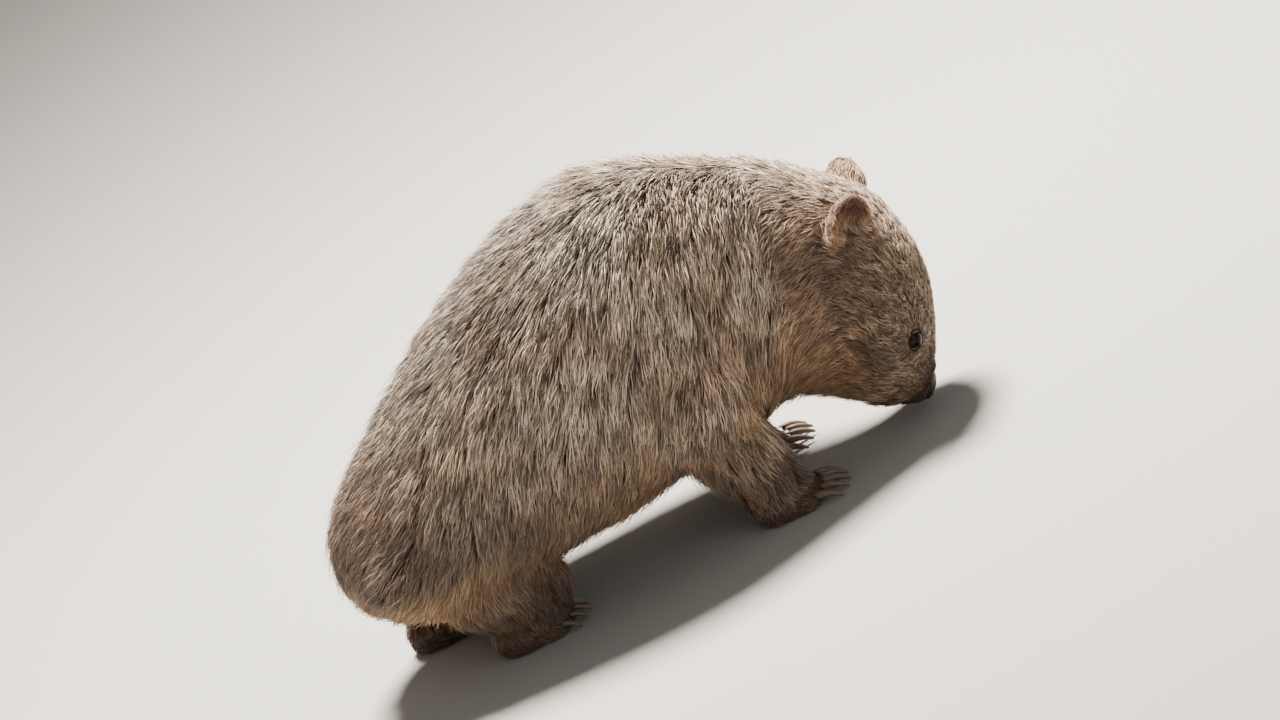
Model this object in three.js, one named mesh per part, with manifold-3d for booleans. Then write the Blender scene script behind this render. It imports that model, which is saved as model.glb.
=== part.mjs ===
// A life-size standing wombat with its head down to the ground, as a still museum model.
// Millimetres. X runs from the rump to the head, Y to the animal's left, Z up from the floor.
import * as THREE from "three";
import { mergeVertices } from "three/addons/utils/BufferGeometryUtils.js";
import Module from "manifold-3d";

const wasm = await Module();
wasm.setup();

// Driving sizes
const NODE_GAP = 0.35;
const STATION_PITCH = 28;
const FAR = 400;
const LEFT = 1;
const RIGHT = -1;
const WALL_SIDES = 24;
const RING_SPACING = 0.7;
const HEAD_RING_SPACING = 0.5;
const WELD = 1e-3;
const SHORTEST_EDGE = 0.05;

// Cross-sections from rump to nose: where the back line and the belly line pass, the half width there,
// and how much the section widens towards its top (positive) or its bottom (negative).
const STATIONS = [
  { top: [-78, 128], bottom: [-78, 128], half: 0, lean: 0 },
  { top: [-75, 150], bottom: [-76, 106], half: 30, lean: 0 },
  { top: [-62, 172], bottom: [-66, 84], half: 60, lean: -0.02 },
  { top: [-33, 200], bottom: [-40, 66], half: 92, lean: -0.05 },
  { top: [5, 226], bottom: [5, 57], half: 118, lean: -0.08 },
  { top: [50, 256], bottom: [50, 53], half: 134, lean: -0.08 },
  { top: [100, 288], bottom: [100, 51], half: 143, lean: -0.08 },
  { top: [155, 317], bottom: [150, 52], half: 148, lean: -0.08 },
  { top: [215, 341], bottom: [205, 54], half: 150, lean: -0.08 },
  { top: [270, 355], bottom: [255, 60], half: 146, lean: -0.06 },
  { top: [320, 353], bottom: [302, 66], half: 136, lean: -0.04 },
  { top: [365, 337], bottom: [338, 66], half: 121, lean: -0.02 },
  { top: [405, 313], bottom: [362, 72], half: 105, lean: 0 },
  { top: [440, 294], bottom: [383, 71], half: 91, lean: 0.02 },
  { top: [474, 267], bottom: [400, 60], half: 79, lean: 0.03 },
  { top: [507, 234], bottom: [414, 47], half: 71, lean: 0.04 },
  { top: [531, 202], bottom: [426, 36], half: 72, lean: 0.05 },
  { top: [540, 165], bottom: [436, 26], half: 69, lean: 0.05 },
  { top: [539, 124], bottom: [444, 19], half: 59, lean: 0.05 },
  { top: [528, 86], bottom: [451, 18], half: 51, lean: 0.03 },
  { top: [513, 54], bottom: [459, 14], half: 43, lean: 0 },
  { top: [499, 33], bottom: [467, 11], half: 32, lean: 0 },
  { top: [486, 15], bottom: [486, 15], half: 0, lean: 0 },
];
const LAST_STATION = STATIONS.length - 1;
const SECTION_ROUNDNESS = 0.94;
const NECK_STARTS = 11.2;
const HEAD_STARTS = 13.3;

// Swellings of the body wall over the big muscles, alike on both sides
const SWELLINGS = [
  { at: [25, 112, 125], spread: 78, lift: 9 },
  { at: [305, 108, 150], spread: 70, lift: 8 },
  { at: [462, 66, 92], spread: 34, lift: 6 },
];

// The coat: a core that ends this far below the outline, and flat locks whose tips reach the outline
const CORE_DEPTH = 7;
const HEAD_CORE_DEPTH = 4;
const LOCK_SEED = 41;
const BODY_LOCKS = { length: 98, half: 26, thick: 4.2, spacing: 86, wander: 0.2 };
const HEAD_LOCKS = { length: 46, half: 15, thick: 2.6, spacing: 62, wander: 0.2 };
const RUMP_LOCKS = { length: 36, half: 17, thick: 3, spacing: 54, wander: 0.15 };
const LOCK_ROWS = [
  { from: 2, to: 3.1, step: 1, lock: RUMP_LOCKS },
  { from: 4.1, to: 13.4, step: 1.36, lock: BODY_LOCKS },
  { from: 14.4, to: 16.2, step: 1.5, lock: HEAD_LOCKS },
];
const TIP_CLEARANCE = 8;
const EAR_CLEARANCE = 36;
const LAST_TIP_STATION = 0.5;
const LOWEST_LEG_LOCK = 90;
const LOCK_UNDERSIDE = 0.6;

// Legs: points down the middle of each limb, each a share of the way from the foot to the hip or shoulder,
// with offsets fore and outward and a height, and the radii fore and aft and across. Each foot stands
// inward of its hip or shoulder.
const ANKLE_HEIGHT = 28;
const FOOT_SIDES = 12;
const TOES = { at: 0.84, curve: 0.1, fan: 0.4, turn: 0.22, ball: [14, 0.13, 11], height: 8 };
const CLAW = { root: 9, thickness: 0.17, heights: [11, 11.5, 8.5, 3.2] };
const HAUNCH_SEAM = 0.1;
const INSIDE_HAUNCH = 0.94;
const HIND_LEG = {
  hip: 38,
  offset: 82,
  inward: 20,
  haunch: { at: [1, -8, 6, 118], radii: [78, 52, 74] },
  path: [[1, -4, 2, 118], [0.75, 14, 5, 84], [0.3, 14, 0, 56], [0, 5, 2, 30], [0, 0, 2, 6]],
  radii: [[44, 32], [60, 38], [53, 36], [42, 31], [33, 28]],
  foot: { heel: -46, length: 88, width: 60, toes: 4, claw: 16 },
};
const FORE_LEG = {
  hip: 304,
  offset: 90,
  inward: 12,
  haunch: { at: [1, -2, 4, 145], radii: [60, 52, 72] },
  path: [[1, -2, 0, 140], [0.7, -6, -2, 100], [0.3, -4, 0, 64], [0, -4, 0, 34], [0, -4, 0, 6]],
  radii: [[34, 28], [43, 34], [38, 33], [33, 30], [29, 28]],
  foot: { heel: -36, length: 76, width: 62, toes: 5, claw: 24 },
};
const LIMBS = [
  { name: "hindleg_right", foot: "hindfoot_right", shape: HIND_LEG, side: RIGHT, x: 68 },
  { name: "hindleg_left", foot: "hindfoot_left", shape: HIND_LEG, side: LEFT, x: -30 },
  { name: "foreleg_right", foot: "forefoot_right", shape: FORE_LEG, side: RIGHT, x: 330 },
  { name: "foreleg_left", foot: "forefoot_left", shape: FORE_LEG, side: LEFT, x: 300 },
];

// Head fittings
const EYE = { station: 18.15, angle: 1.34, radius: 8.2, sink: 5.2, lid: 2.3 };
const EAR = {
  base: [494, 48, 190],
  axis: [0.5, 0.15, 0.85],
  opening: [0.55, 0.8, -0.05],
  reach: 19,
  outer: [22, 27, 12],
  inner: [17.5, 22.5, 12],
  cupShift: 7,
};
const NOSE = { at: [486, 0, 20], facing: [0.78, 0, -0.62], radii: [9, 21, 15], nostril: [4, 3, 5.5] };
const MOUTH = {
  front: [478, 8],
  corner: [451, 31],
  width: 2,
  depth: 5,
  cleft: { x: [474, 486], z: [2, 14] },
};
const TAIL = { at: [-72, 0, 112], radii: [11, 10, 19] };

const COAT = new THREE.MeshStandardMaterial({ color: 0x8a7358, roughness: 0.92, metalness: 0 });
const LEG_COAT = new THREE.MeshStandardMaterial({ color: 0x6b5440, roughness: 0.92, metalness: 0 });
const EAR_SKIN = new THREE.MeshStandardMaterial({ color: 0x6a4a38, roughness: 0.85, metalness: 0 });
const NOSE_SKIN = new THREE.MeshStandardMaterial({ color: 0x2e2420, roughness: 0.55, metalness: 0 });
const EYE_GLOSS = new THREE.MeshStandardMaterial({ color: 0x140d0a, roughness: 0.08, metalness: 0 });
const CLAW_HORN = new THREE.MeshStandardMaterial({ color: 0x4a3d33, roughness: 0.45, metalness: 0 });

// Solids

function solidFromArrays(positions, triangles) {
  const made = new wasm.Manifold(
    new wasm.Mesh({
      numProp: 3,
      vertProperties: new Float32Array(positions),
      triVerts: new Uint32Array(triangles),
      tolerance: SHORTEST_EDGE,
    }),
  );
  return made;
}

function solidOf(geometry) {
  const bare = geometry.clone();
  bare.deleteAttribute("normal");
  bare.deleteAttribute("uv");
  const welded = mergeVertices(bare, WELD);
  return solidFromArrays(welded.attributes.position.array, welded.index.array);
}

function geometryOf(solid) {
  const mesh = solid.getMesh();
  const geometry = new THREE.BufferGeometry();
  geometry.setAttribute("position", new THREE.BufferAttribute(new Float32Array(mesh.vertProperties), 3));
  geometry.setIndex(new THREE.BufferAttribute(new Uint32Array(mesh.triVerts), 1));
  geometry.computeVertexNormals();
  return geometry;
}

// The largest closed surface of a solid: fills sealed hollows and drops loose scraps.
function largestBody(solid) {
  const bodies = solid.decompose();
  return bodies.reduce((best, body) => (body.volume() > best.volume() ? body : best));
}

// A closed skin over rings of equal count, drawn to a point at each end.
function loft(startPoint, rings, endPoint) {
  const sides = rings[0].length;
  const points = [startPoint, ...rings.flat(), endPoint];
  const last = points.length - 1;
  const triangles = [];
  for (let side = 0; side < sides; side++) {
    const next = (side + 1) % sides;
    triangles.push(0, 1 + next, 1 + side);
    for (let row = 0; row < rings.length - 1; row++) {
      const near = 1 + row * sides;
      const far = near + sides;
      triangles.push(near + side, near + next, far + next);
      triangles.push(near + side, far + next, far + side);
    }
    const end = last - sides;
    triangles.push(last, end + side, end + next);
  }
  return solidFromArrays(points.flatMap((p) => [p.x, p.y, p.z]), triangles);
}

function middleOf(ring) {
  const sum = ring.reduce((total, p) => total.add(p), new THREE.Vector3());
  return sum.divideScalar(ring.length);
}

// An ellipsoid whose radii lie along three axes
function ellipsoid(at, radii, sides, rows, axes) {
  const geometry = new THREE.SphereGeometry(1, sides, rows);
  const [along, across, up] = axes ?? [
    new THREE.Vector3(1, 0, 0),
    new THREE.Vector3(0, 1, 0),
    new THREE.Vector3(0, 0, 1),
  ];
  const place = new THREE.Matrix4().makeBasis(along, across, up);
  place.scale(new THREE.Vector3(...radii));
  place.setPosition(...at);
  geometry.applyMatrix4(place);
  return solidOf(geometry);
}

function block(low, high) {
  const size = low.map((value, i) => high[i] - value);
  const geometry = new THREE.BoxGeometry(...size);
  geometry.translate(...low.map((value, i) => value + size[i] / 2));
  return solidOf(geometry);
}

// A tapered limb or claw: rings square to a path that stays in one upright plane
function taperedSweep(path, radiusAt, steps, sides) {
  const rings = [];
  for (let step = 0; step <= steps; step++) {
    const t = step / steps;
    const centre = path.getPoint(t);
    const tangent = path.getTangent(t);
    const across = new THREE.Vector3(0, 1, 0);
    const fore = new THREE.Vector3().crossVectors(across, tangent).normalize();
    const side = new THREE.Vector3().crossVectors(tangent, fore).normalize();
    const [foreRadius, sideRadius] = radiusAt(t);
    const ring = [];
    for (let i = 0; i < sides; i++) {
      const angle = (2 * Math.PI * i) / sides;
      ring.push(
        centre
          .clone()
          .addScaledVector(fore, foreRadius * Math.cos(angle))
          .addScaledVector(side, sideRadius * Math.sin(angle)),
      );
    }
    rings.push(ring);
  }
  return loft(middleOf(rings[0]), rings, middleOf(rings.at(-1)));
}

// The body wall

function stationCurve(pick) {
  return new THREE.CatmullRomCurve3(STATIONS.map((station) => new THREE.Vector3(...pick(station))));
}

const backLine = stationCurve((station) => [station.top[0], 0, station.top[1]]);
const bellyLine = stationCurve((station) => [station.bottom[0], 0, station.bottom[1]]);
const girthLine = stationCurve((station) => [station.half, station.lean * 100, 0]);

function roundedPower(value) {
  return Math.sign(value) * Math.abs(value) ** SECTION_ROUNDNESS;
}

// A point of the coat's outer surface. The angle is 0 on the back and grows towards the animal's left.
function wallPoint(station, angle) {
  const t = station / LAST_STATION;
  const top = backLine.getPoint(t);
  const bottom = bellyLine.getPoint(t);
  const girth = girthLine.getPoint(t);
  const middle = top.clone().add(bottom).multiplyScalar(0.5);
  const rise = top.clone().sub(bottom).multiplyScalar(0.5);
  const upward = Math.cos(angle);
  const lean = girth.y / 100;
  const point = middle.addScaledVector(rise, roundedPower(upward));
  const outward = new THREE.Vector3(0, Math.sin(angle), 0);
  outward.addScaledVector(rise.clone().normalize(), upward * 0.5).normalize();
  point.y = girth.x * roundedPower(Math.sin(angle)) * (1 + lean * upward);
  const flank = Math.abs(Math.sin(angle));
  for (const swelling of SWELLINGS) {
    const away = point.distanceTo(
      new THREE.Vector3(swelling.at[0], Math.sign(point.y) * swelling.at[1], swelling.at[2]),
    );
    const share = Math.exp(-((away / swelling.spread) ** 2));
    point.addScaledVector(outward, swelling.lift * share * flank);
  }
  return point;
}

function wallNormal(station, angle) {
  const step = 0.02;
  const along = wallPoint(station + step, angle).sub(wallPoint(station - step, angle));
  const around = wallPoint(station, angle + step).sub(wallPoint(station, angle - step));
  return new THREE.Vector3().crossVectors(along, around).normalize();
}

// The wall pushed out or in along its own normal
function wallOffset(station, angle, out) {
  if (out === 0) return wallPoint(station, angle);
  return wallPoint(station, angle).addScaledVector(wallNormal(station, angle), out);
}

function ramp(value, from, to) {
  return THREE.MathUtils.smoothstep(value, from, to);
}

// How deep the core lies under the outline: deep on the body, shallow on the cheeks, none on the muzzle
function coreDepth(station) {
  const body = CORE_DEPTH - (CORE_DEPTH - HEAD_CORE_DEPTH) * ramp(station, 12.6, 14);
  return body * (1 - ramp(station, 16.2, 18));
}

function wallRing(station, out) {
  const ring = [];
  for (let i = 0; i < WALL_SIDES; i++) {
    ring.push(wallOffset(station, (-2 * Math.PI * i) / WALL_SIDES, out - coreDepth(station)));
  }
  return ring;
}

// The core's solid between two stations, closed by a point at the rump or nose and by a flat cut elsewhere
function wallSolid(from, to, out = 0) {
  const spacing = from >= HEAD_STARTS - 1 ? HEAD_RING_SPACING : RING_SPACING;
  const tipStep = 0.28;
  const start = from === 0 ? tipStep : from;
  const end = to === LAST_STATION ? LAST_STATION - tipStep : to;
  const rings = [wallRing(start, out)];
  for (let k = Math.ceil(start / spacing + 0.1); k * spacing < end - 0.1 * spacing; k++) {
    rings.push(wallRing(k * spacing, out));
  }
  rings.push(wallRing(end, out));
  const rumpTip = wallPoint(0, 0).add(new THREE.Vector3(coreDepth(0) - out, 0, 0));
  const noseTip = wallPoint(LAST_STATION, 0).addScaledVector(new THREE.Vector3(...NOSE.facing), out);
  const first = from === 0 ? rumpTip : middleOf(rings[0]);
  const last = to === LAST_STATION ? noseTip : middleOf(rings.at(-1));
  return loft(first, rings, last);
}

// The coat's locks

function seededRandom(seed) {
  let state = seed;
  return () => {
    state = (state + 0x6d2b79f5) | 0;
    let mixed = Math.imul(state ^ (state >>> 15), 1 | state);
    mixed = (mixed + Math.imul(mixed ^ (mixed >>> 7), 61 | mixed)) ^ mixed;
    return ((mixed ^ (mixed >>> 14)) >>> 0) / 4294967296;
  };
}

// The way the hair lies: up the face, back over the nape, back and down on the flanks, back on the rump
function lieOfHair(station) {
  const rump = new THREE.Vector3(-0.85, 0, -0.45);
  const flank = new THREE.Vector3(-0.5, 0, -0.8);
  const nape = new THREE.Vector3(-0.85, 0, -0.1);
  const face = new THREE.Vector3(-0.45, 0, 0.9);
  return rump
    .lerp(flank, ramp(station, 3, 6.5))
    .lerp(nape, ramp(station, 12.8, 14.2))
    .lerp(face, ramp(station, 14.2, 16));
}

// Moves a place on the wall some millimetres along the lie of the hair
function followHair(place, distance) {
  const step = 0.02;
  const here = wallPoint(place.station, place.angle);
  const along = wallPoint(place.station + step, place.angle).sub(here).divideScalar(step);
  const around = wallPoint(place.station, place.angle + step).sub(here).divideScalar(step);
  const lie = lieOfHair(place.station);
  const [aa, ab, bb] = [along.dot(along), along.dot(around), around.dot(around)];
  const [la, lb] = [lie.dot(along), lie.dot(around)];
  const slope = aa * bb - ab * ab;
  const stations = (la * bb - lb * ab) / slope;
  const radians = (lb * aa - la * ab) / slope;
  const moved = along.multiplyScalar(stations).addScaledVector(around, radians).length();
  return {
    station: Math.max(0.2, place.station + (stations * distance) / moved),
    angle: place.angle + (radians * distance) / moved,
  };
}

// Staggered rows of locks over the whole wall, each with its own size and turn
function scatterLocks() {
  const random = seededRandom(LOCK_SEED);
  const vary = (share) => 1 + share * (2 * random() - 1);
  const locks = [];
  for (const row of LOCK_ROWS) {
    for (let station = row.from; station <= row.to; station += row.step) {
      const ring = wallRing(station, 0);
      const around = ring.reduce((sum, p, i) => sum + p.distanceTo(ring[(i + 1) % ring.length]), 0);
      const count = Math.max(5, Math.round(around / row.lock.spacing));
      const stagger = random();
      for (let i = 0; i < count; i++) {
        locks.push({
          station: station + row.step * 0.3 * (random() - 0.5),
          angle: (2 * Math.PI * (i + stagger + 0.3 * (random() - 0.5))) / count,
          length: row.lock.length * vary(row.lock.wander),
          half: row.lock.half * vary(row.lock.wander),
          thick: row.lock.thick,
        });
      }
    }
  }
  return locks;
}

// One flat lock: sunk at its root, widest a third of the way on, rising to a point at the outline
function makeLock(lock, grow) {
  const sections = [
    { share: 0, height: -0.8, half: 0.6, thick: 0.8 },
    { share: 0.36, height: 0.35, half: 1, thick: 1 },
    { share: 0.74, height: 0.8, half: 0.66, thick: 0.6 },
  ];
  const rings = [];
  let place = lock;
  let walked = 0;
  const pointAt = (share, height) => {
    place = followHair(place, lock.length * (share - walked));
    walked = share;
    const depth = coreDepth(place.station);
    return wallOffset(place.station, place.angle, depth * height - depth);
  };
  for (const section of sections) {
    const centre = pointAt(section.share, section.height);
    const normal = wallNormal(place.station, place.angle);
    const ahead = followHair(place, 4);
    const forward = wallPoint(ahead.station, ahead.angle).sub(wallPoint(place.station, place.angle));
    const across = new THREE.Vector3().crossVectors(normal, forward).normalize();
    if (section.share === 0) centre.addScaledVector(forward.normalize(), -2 * grow);
    const half = lock.half * section.half;
    const over = lock.thick * section.thick;
    const under = over * LOCK_UNDERSIDE;
    const slant = Math.hypot(half, over + under);
    const ridge = centre.clone().addScaledVector(normal, over + (grow * slant) / half);
    const base = centre.clone().addScaledVector(normal, -under - grow);
    const reach = half + (grow * (slant + half)) / (over + under);
    rings.push([
      base.clone().addScaledVector(across, reach),
      ridge,
      base.clone().addScaledVector(across, -reach),
    ]);
  }
  const tip = pointAt(1, 1);
  const pull = tip.clone().sub(middleOf(rings.at(-1))).normalize();
  tip.addScaledVector(pull, grow * TIP_CLEARANCE);
  return loft(middleOf(rings[0]), rings, tip);
}

function joinLocks(locks, grow) {
  return locks.map((lock) => makeLock(lock, grow)).reduce((joined, lock) => joined.add(lock));
}

// Sub-parts

function makeTail(grow) {
  return ellipsoid(TAIL.at, TAIL.radii.map((radius) => radius + grow), 10, 6);
}

function limbPoint(limb, [share, fore, outward, height]) {
  const { hip, offset, inward } = limb.shape;
  const x = limb.x + (hip - limb.x) * share + fore;
  return [x, limb.side * (offset - inward * (1 - share) + outward), height];
}

function footPoint(limb, fore, outward, height) {
  return limbPoint(limb, [0, fore, outward, height]);
}

function limbSweep(limb, grow) {
  const { path, radii } = limb.shape;
  const points = path.map((point) => new THREE.Vector3(...limbPoint(limb, point)));
  const curve = new THREE.CatmullRomCurve3(points);
  const widths = new THREE.CatmullRomCurve3(radii.map((pair) => new THREE.Vector3(...pair, 0)));
  const radiusAt = (t) => {
    const width = widths.getPoint(t);
    return [width.x + grow, width.y + grow];
  };
  return taperedSweep(curve, radiusAt, 5, 10);
}

function makeHaunch(limb, grow) {
  const { at, radii } = limb.shape.haunch;
  return ellipsoid(limbPoint(limb, at), radii.map((radius) => radius + grow), 12, 7);
}

function toePlaces(limb) {
  const { heel, length, width } = limb.shape.foot;
  const places = [];
  for (let toe = 0; toe < 5; toe++) {
    const spread = (toe - 2) / 2;
    const fore = heel + length * (TOES.at - TOES.curve * spread * spread);
    const [x, y] = footPoint(limb, fore, spread * width * TOES.fan, 0);
    places.push({ x, y, turn: limb.side * spread * TOES.turn });
  }
  return places;
}

function makeClaw(limb, place) {
  const reach = limb.shape.foot.claw;
  const radius = reach * CLAW.thickness;
  const steps = [0, CLAW.root + reach * 0.3, CLAW.root + reach * 0.7, CLAW.root + reach];
  const points = steps.map((along, i) => {
    const x = place.x + along * Math.cos(place.turn);
    const y = place.y + along * Math.sin(place.turn);
    return new THREE.Vector3(x, y, CLAW.heights[i]);
  });
  const curve = new THREE.CatmullRomCurve3(points);
  const radiusAt = (t) => {
    const thick = radius * (1 - 0.82 * t ** 1.6);
    return [thick, thick * 0.85];
  };
  return taperedSweep(curve, radiusAt, 3, 5);
}

// The ball of each toe
function makeToe(limb, place, grow) {
  const [long, wide, tall] = TOES.ball;
  const radii = [long, limb.shape.foot.width * wide, tall];
  return ellipsoid([place.x, place.y, TOES.height], radii.map((radius) => radius + grow), 7, 4);
}

function makeFoot(limb) {
  const { heel, length, width } = limb.shape.foot;
  const ankle = limb.shape.radii.at(-2);
  const sole = length * 0.43;
  const ball = heel + length * 0.46;
  const sections = [
    { height: 0, fore: ball, radii: [sole - 4, width * 0.43] },
    { height: 5, fore: ball, radii: [sole, width * 0.49] },
    { height: 15, fore: ball - 2, radii: [sole - 2, width * 0.5] },
    { height: ANKLE_HEIGHT - NODE_GAP, fore: limb.shape.path.at(-2)[1], radii: ankle },
  ];
  const rings = sections.map(({ height, fore, radii }) => {
    const ring = [];
    for (let i = 0; i < FOOT_SIDES; i++) {
      const angle = (2 * Math.PI * i) / FOOT_SIDES;
      const [x, y, z] = footPoint(limb, fore, 0, height);
      ring.push(new THREE.Vector3(x + radii[0] * Math.cos(angle), y + radii[1] * Math.sin(angle), z));
    }
    return ring;
  });
  let foot = loft(middleOf(rings[0]), rings, middleOf(rings.at(-1)));
  for (const place of toePlaces(limb)) {
    foot = foot.add(makeToe(limb, place, 0));
  }
  const [low, high] = [foot.boundingBox().min, foot.boundingBox().max];
  return foot.intersect(block([low[0] - 1, low[1] - 1, 0], [high[0] + 1, high[1] + 1, high[2] + 1]));
}

function earAxes(side) {
  const along = new THREE.Vector3(EAR.axis[0], side * EAR.axis[1], EAR.axis[2]).normalize();
  const opening = new THREE.Vector3(EAR.opening[0], side * EAR.opening[1], EAR.opening[2]);
  opening.addScaledVector(along, -opening.dot(along)).normalize();
  const across = new THREE.Vector3().crossVectors(along, opening);
  return { along, opening, across };
}

function earMiddle(side) {
  const base = new THREE.Vector3(EAR.base[0], side * EAR.base[1], EAR.base[2]);
  return base.addScaledVector(earAxes(side).along, EAR.reach);
}

function makeEar(side, grow) {
  const { along, opening, across } = earAxes(side);
  const radii = EAR.outer.map((radius) => radius + grow);
  return ellipsoid(earMiddle(side).toArray(), radii, 12, 8, [across, along, opening]);
}

// The hollow of the ear, open to the side and front
function makeEarCup(side) {
  const { along, opening, across } = earAxes(side);
  const middle = earMiddle(side).addScaledVector(opening, EAR.cupShift).addScaledVector(along, 1.5);
  return ellipsoid(middle.toArray(), EAR.inner, 10, 6, [across, along, opening]);
}

function eyeCentre(side) {
  const angle = side * EYE.angle;
  return wallOffset(EYE.station, angle, -EYE.sink);
}

function makeEye(side, grow) {
  const centre = eyeCentre(side).toArray();
  const radius = EYE.radius + grow;
  return ellipsoid(centre, [radius, radius, radius], 10, 6);
}

function makeLids(side) {
  const facing = wallNormal(EYE.station, side * EYE.angle);
  const geometry = new THREE.TorusGeometry(EYE.radius * 0.92, EYE.lid, 4, 12);
  const turn = new THREE.Quaternion().setFromUnitVectors(new THREE.Vector3(0, 0, 1), facing);
  geometry.applyQuaternion(turn);
  geometry.translate(...eyeCentre(side).addScaledVector(facing, EYE.radius * 0.45).toArray());
  return solidOf(geometry);
}

function noseAxes() {
  const facing = new THREE.Vector3(...NOSE.facing).normalize();
  const across = new THREE.Vector3(0, 1, 0);
  const up = new THREE.Vector3().crossVectors(facing, across);
  return { facing, across, up };
}

function makeNosePad(grow) {
  const { facing, across, up } = noseAxes();
  return ellipsoid(NOSE.at, NOSE.radii.map((radius) => radius + grow), 12, 6, [facing, across, up]);
}

function makeNostril(side) {
  const { facing, across, up } = noseAxes();
  const at = new THREE.Vector3(...NOSE.at)
    .addScaledVector(facing, NOSE.radii[0] * 0.75)
    .addScaledVector(across, side * NOSE.radii[1] * 0.42)
    .addScaledVector(up, -NOSE.radii[2] * 0.05);
  return ellipsoid(at.toArray(), NOSE.nostril, 7, 4, [facing, across, up]);
}

// The line of the mouth and the cleft of the upper lip: thin slots as deep as the lips
function makeMouthLine() {
  const lips = wallSolid(HEAD_STARTS, LAST_STATION, 3).subtract(
    wallSolid(HEAD_STARTS, LAST_STATION, -MOUTH.depth),
  );
  const [frontX, frontZ] = MOUTH.front;
  const [cornerX, cornerZ] = MOUTH.corner;
  const length = Math.hypot(frontX - cornerX, cornerZ - frontZ);
  const slot = new THREE.BoxGeometry(length + 30, 90, MOUTH.width);
  slot.translate((length + 30) / 2 - length, 0, 0);
  slot.rotateY(Math.atan2(cornerZ - frontZ, frontX - cornerX));
  slot.translate(frontX, 0, frontZ);
  const { x, z } = MOUTH.cleft;
  const cleft = block([x[0], -MOUTH.width / 2, z[0]], [x[1], MOUTH.width / 2, z[1]]);
  return lips.intersect(solidOf(slot).add(cleft));
}

// Assembly

const wombat = new THREE.Group();

// Welding the finished surface can pinch off a scrap that hung on by a hair, so the body is picked twice.
function place(name, solid, material) {
  const welded = solidOf(geometryOf(largestBody(solid)));
  const mesh = new THREE.Mesh(geometryOf(largestBody(welded)), material);
  mesh.name = name;
  wombat.add(mesh);
}

const gapInStations = NODE_GAP / STATION_PITCH;

function legRegion(limb, grow) {
  return makeHaunch(limb, grow).add(limbSweep(limb, grow));
}

function insideHaunch(point, limb) {
  const { at, radii } = limb.shape.haunch;
  const middle = limbPoint(limb, at);
  const reach = ["x", "y", "z"].map((axis, i) => (point[axis] - middle[i]) / radii[i]);
  return Math.hypot(...reach) < INSIDE_HAUNCH;
}

// The node that a lock grows from, or none where it would bury an ear, pass the rump or hide a leg's end
function ownerOf(lock) {
  if (followHair(lock, lock.length).station < LAST_TIP_STATION) return "none";
  const root = wallOffset(lock.station, lock.angle, -coreDepth(lock.station));
  for (const side of [LEFT, RIGHT]) {
    const ear = new THREE.Vector3(EAR.base[0], side * EAR.base[1], EAR.base[2]);
    if (root.distanceTo(ear) < EAR_CLEARANCE) return "none";
  }
  const haunched = LIMBS.find((limb) => insideHaunch(root, limb));
  if (haunched) return root.z > LOWEST_LEG_LOCK ? haunched.name : "none";
  if (lock.station > HEAD_STARTS) return "head";
  return lock.station > NECK_STARTS ? "neck" : "torso";
}

const locksOf = Map.groupBy(scatterLocks(), ownerOf);
const plainCoats = new Map([...locksOf].map(([owner, locks]) => [owner, joinLocks(locks, 0)]));

// The locks of one node, or with a gap round them what has to be clear of them
function coat(owner, grow) {
  const plain = plainCoats.get(owner);
  return grow === 0 ? plain : joinLocks(locksOf.get(owner), grow).add(plain);
}

function makeHead() {
  let head = wallSolid(HEAD_STARTS, LAST_STATION).add(coat("head", 0));
  for (const side of [LEFT, RIGHT]) {
    head = head.add(makeLids(side)).subtract(makeEye(side, NODE_GAP));
    head = head.subtract(makeEar(side, NODE_GAP));
  }
  return head.subtract(makeNosePad(NODE_GAP)).subtract(makeMouthLine());
}

function makeNeck() {
  let neck = wallSolid(NECK_STARTS + gapInStations, HEAD_STARTS - gapInStations);
  for (const limb of LIMBS) {
    neck = neck.subtract(legRegion(limb, NODE_GAP));
  }
  const headGrown = wallSolid(HEAD_STARTS - gapInStations, LAST_STATION, NODE_GAP);
  return neck.add(coat("neck", 0).subtract(headGrown)).subtract(coat("head", NODE_GAP));
}

function makeTorso() {
  let torso = wallSolid(0, NECK_STARTS);
  for (const limb of LIMBS) {
    torso = torso.subtract(legRegion(limb, NODE_GAP));
  }
  const neckGrown = wallSolid(NECK_STARTS, HEAD_STARTS, NODE_GAP).add(coat("neck", NODE_GAP));
  torso = torso.add(coat("torso", 0)).subtract(neckGrown).subtract(coat("head", NODE_GAP));
  for (const limb of LIMBS) {
    torso = torso.subtract(limbSweep(limb, NODE_GAP));
  }
  return torso.subtract(makeTail(NODE_GAP));
}

// A leg is the part of the core inside its haunch, with the limb below it and the locks of its own
function makeLeg(limb, body) {
  const haunch = makeHaunch(limb, 0);
  let locks = coat(limb.name, 0).subtract(body.grownCore.subtract(makeHaunch(limb, HAUNCH_SEAM)));
  for (const other of LIMBS) {
    if (other !== limb) locks = locks.subtract(legRegion(other, NODE_GAP));
  }
  const leg = haunch.intersect(body.core).add(limbSweep(limb, 0)).add(locks);
  const aboveAnkle = block([-FAR, -FAR, ANKLE_HEIGHT], [2 * FAR, FAR, FAR]);
  return leg.intersect(aboveAnkle).subtract(body.grownLocks).subtract(makeTail(NODE_GAP));
}

place("torso", makeTorso(), COAT);
place("neck", makeNeck(), COAT);
place("head", makeHead(), COAT);
place("tail", makeTail(0), COAT);
place("nose_pad", makeNosePad(0).subtract(makeNostril(LEFT)).subtract(makeNostril(RIGHT)), NOSE_SKIN);

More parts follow.
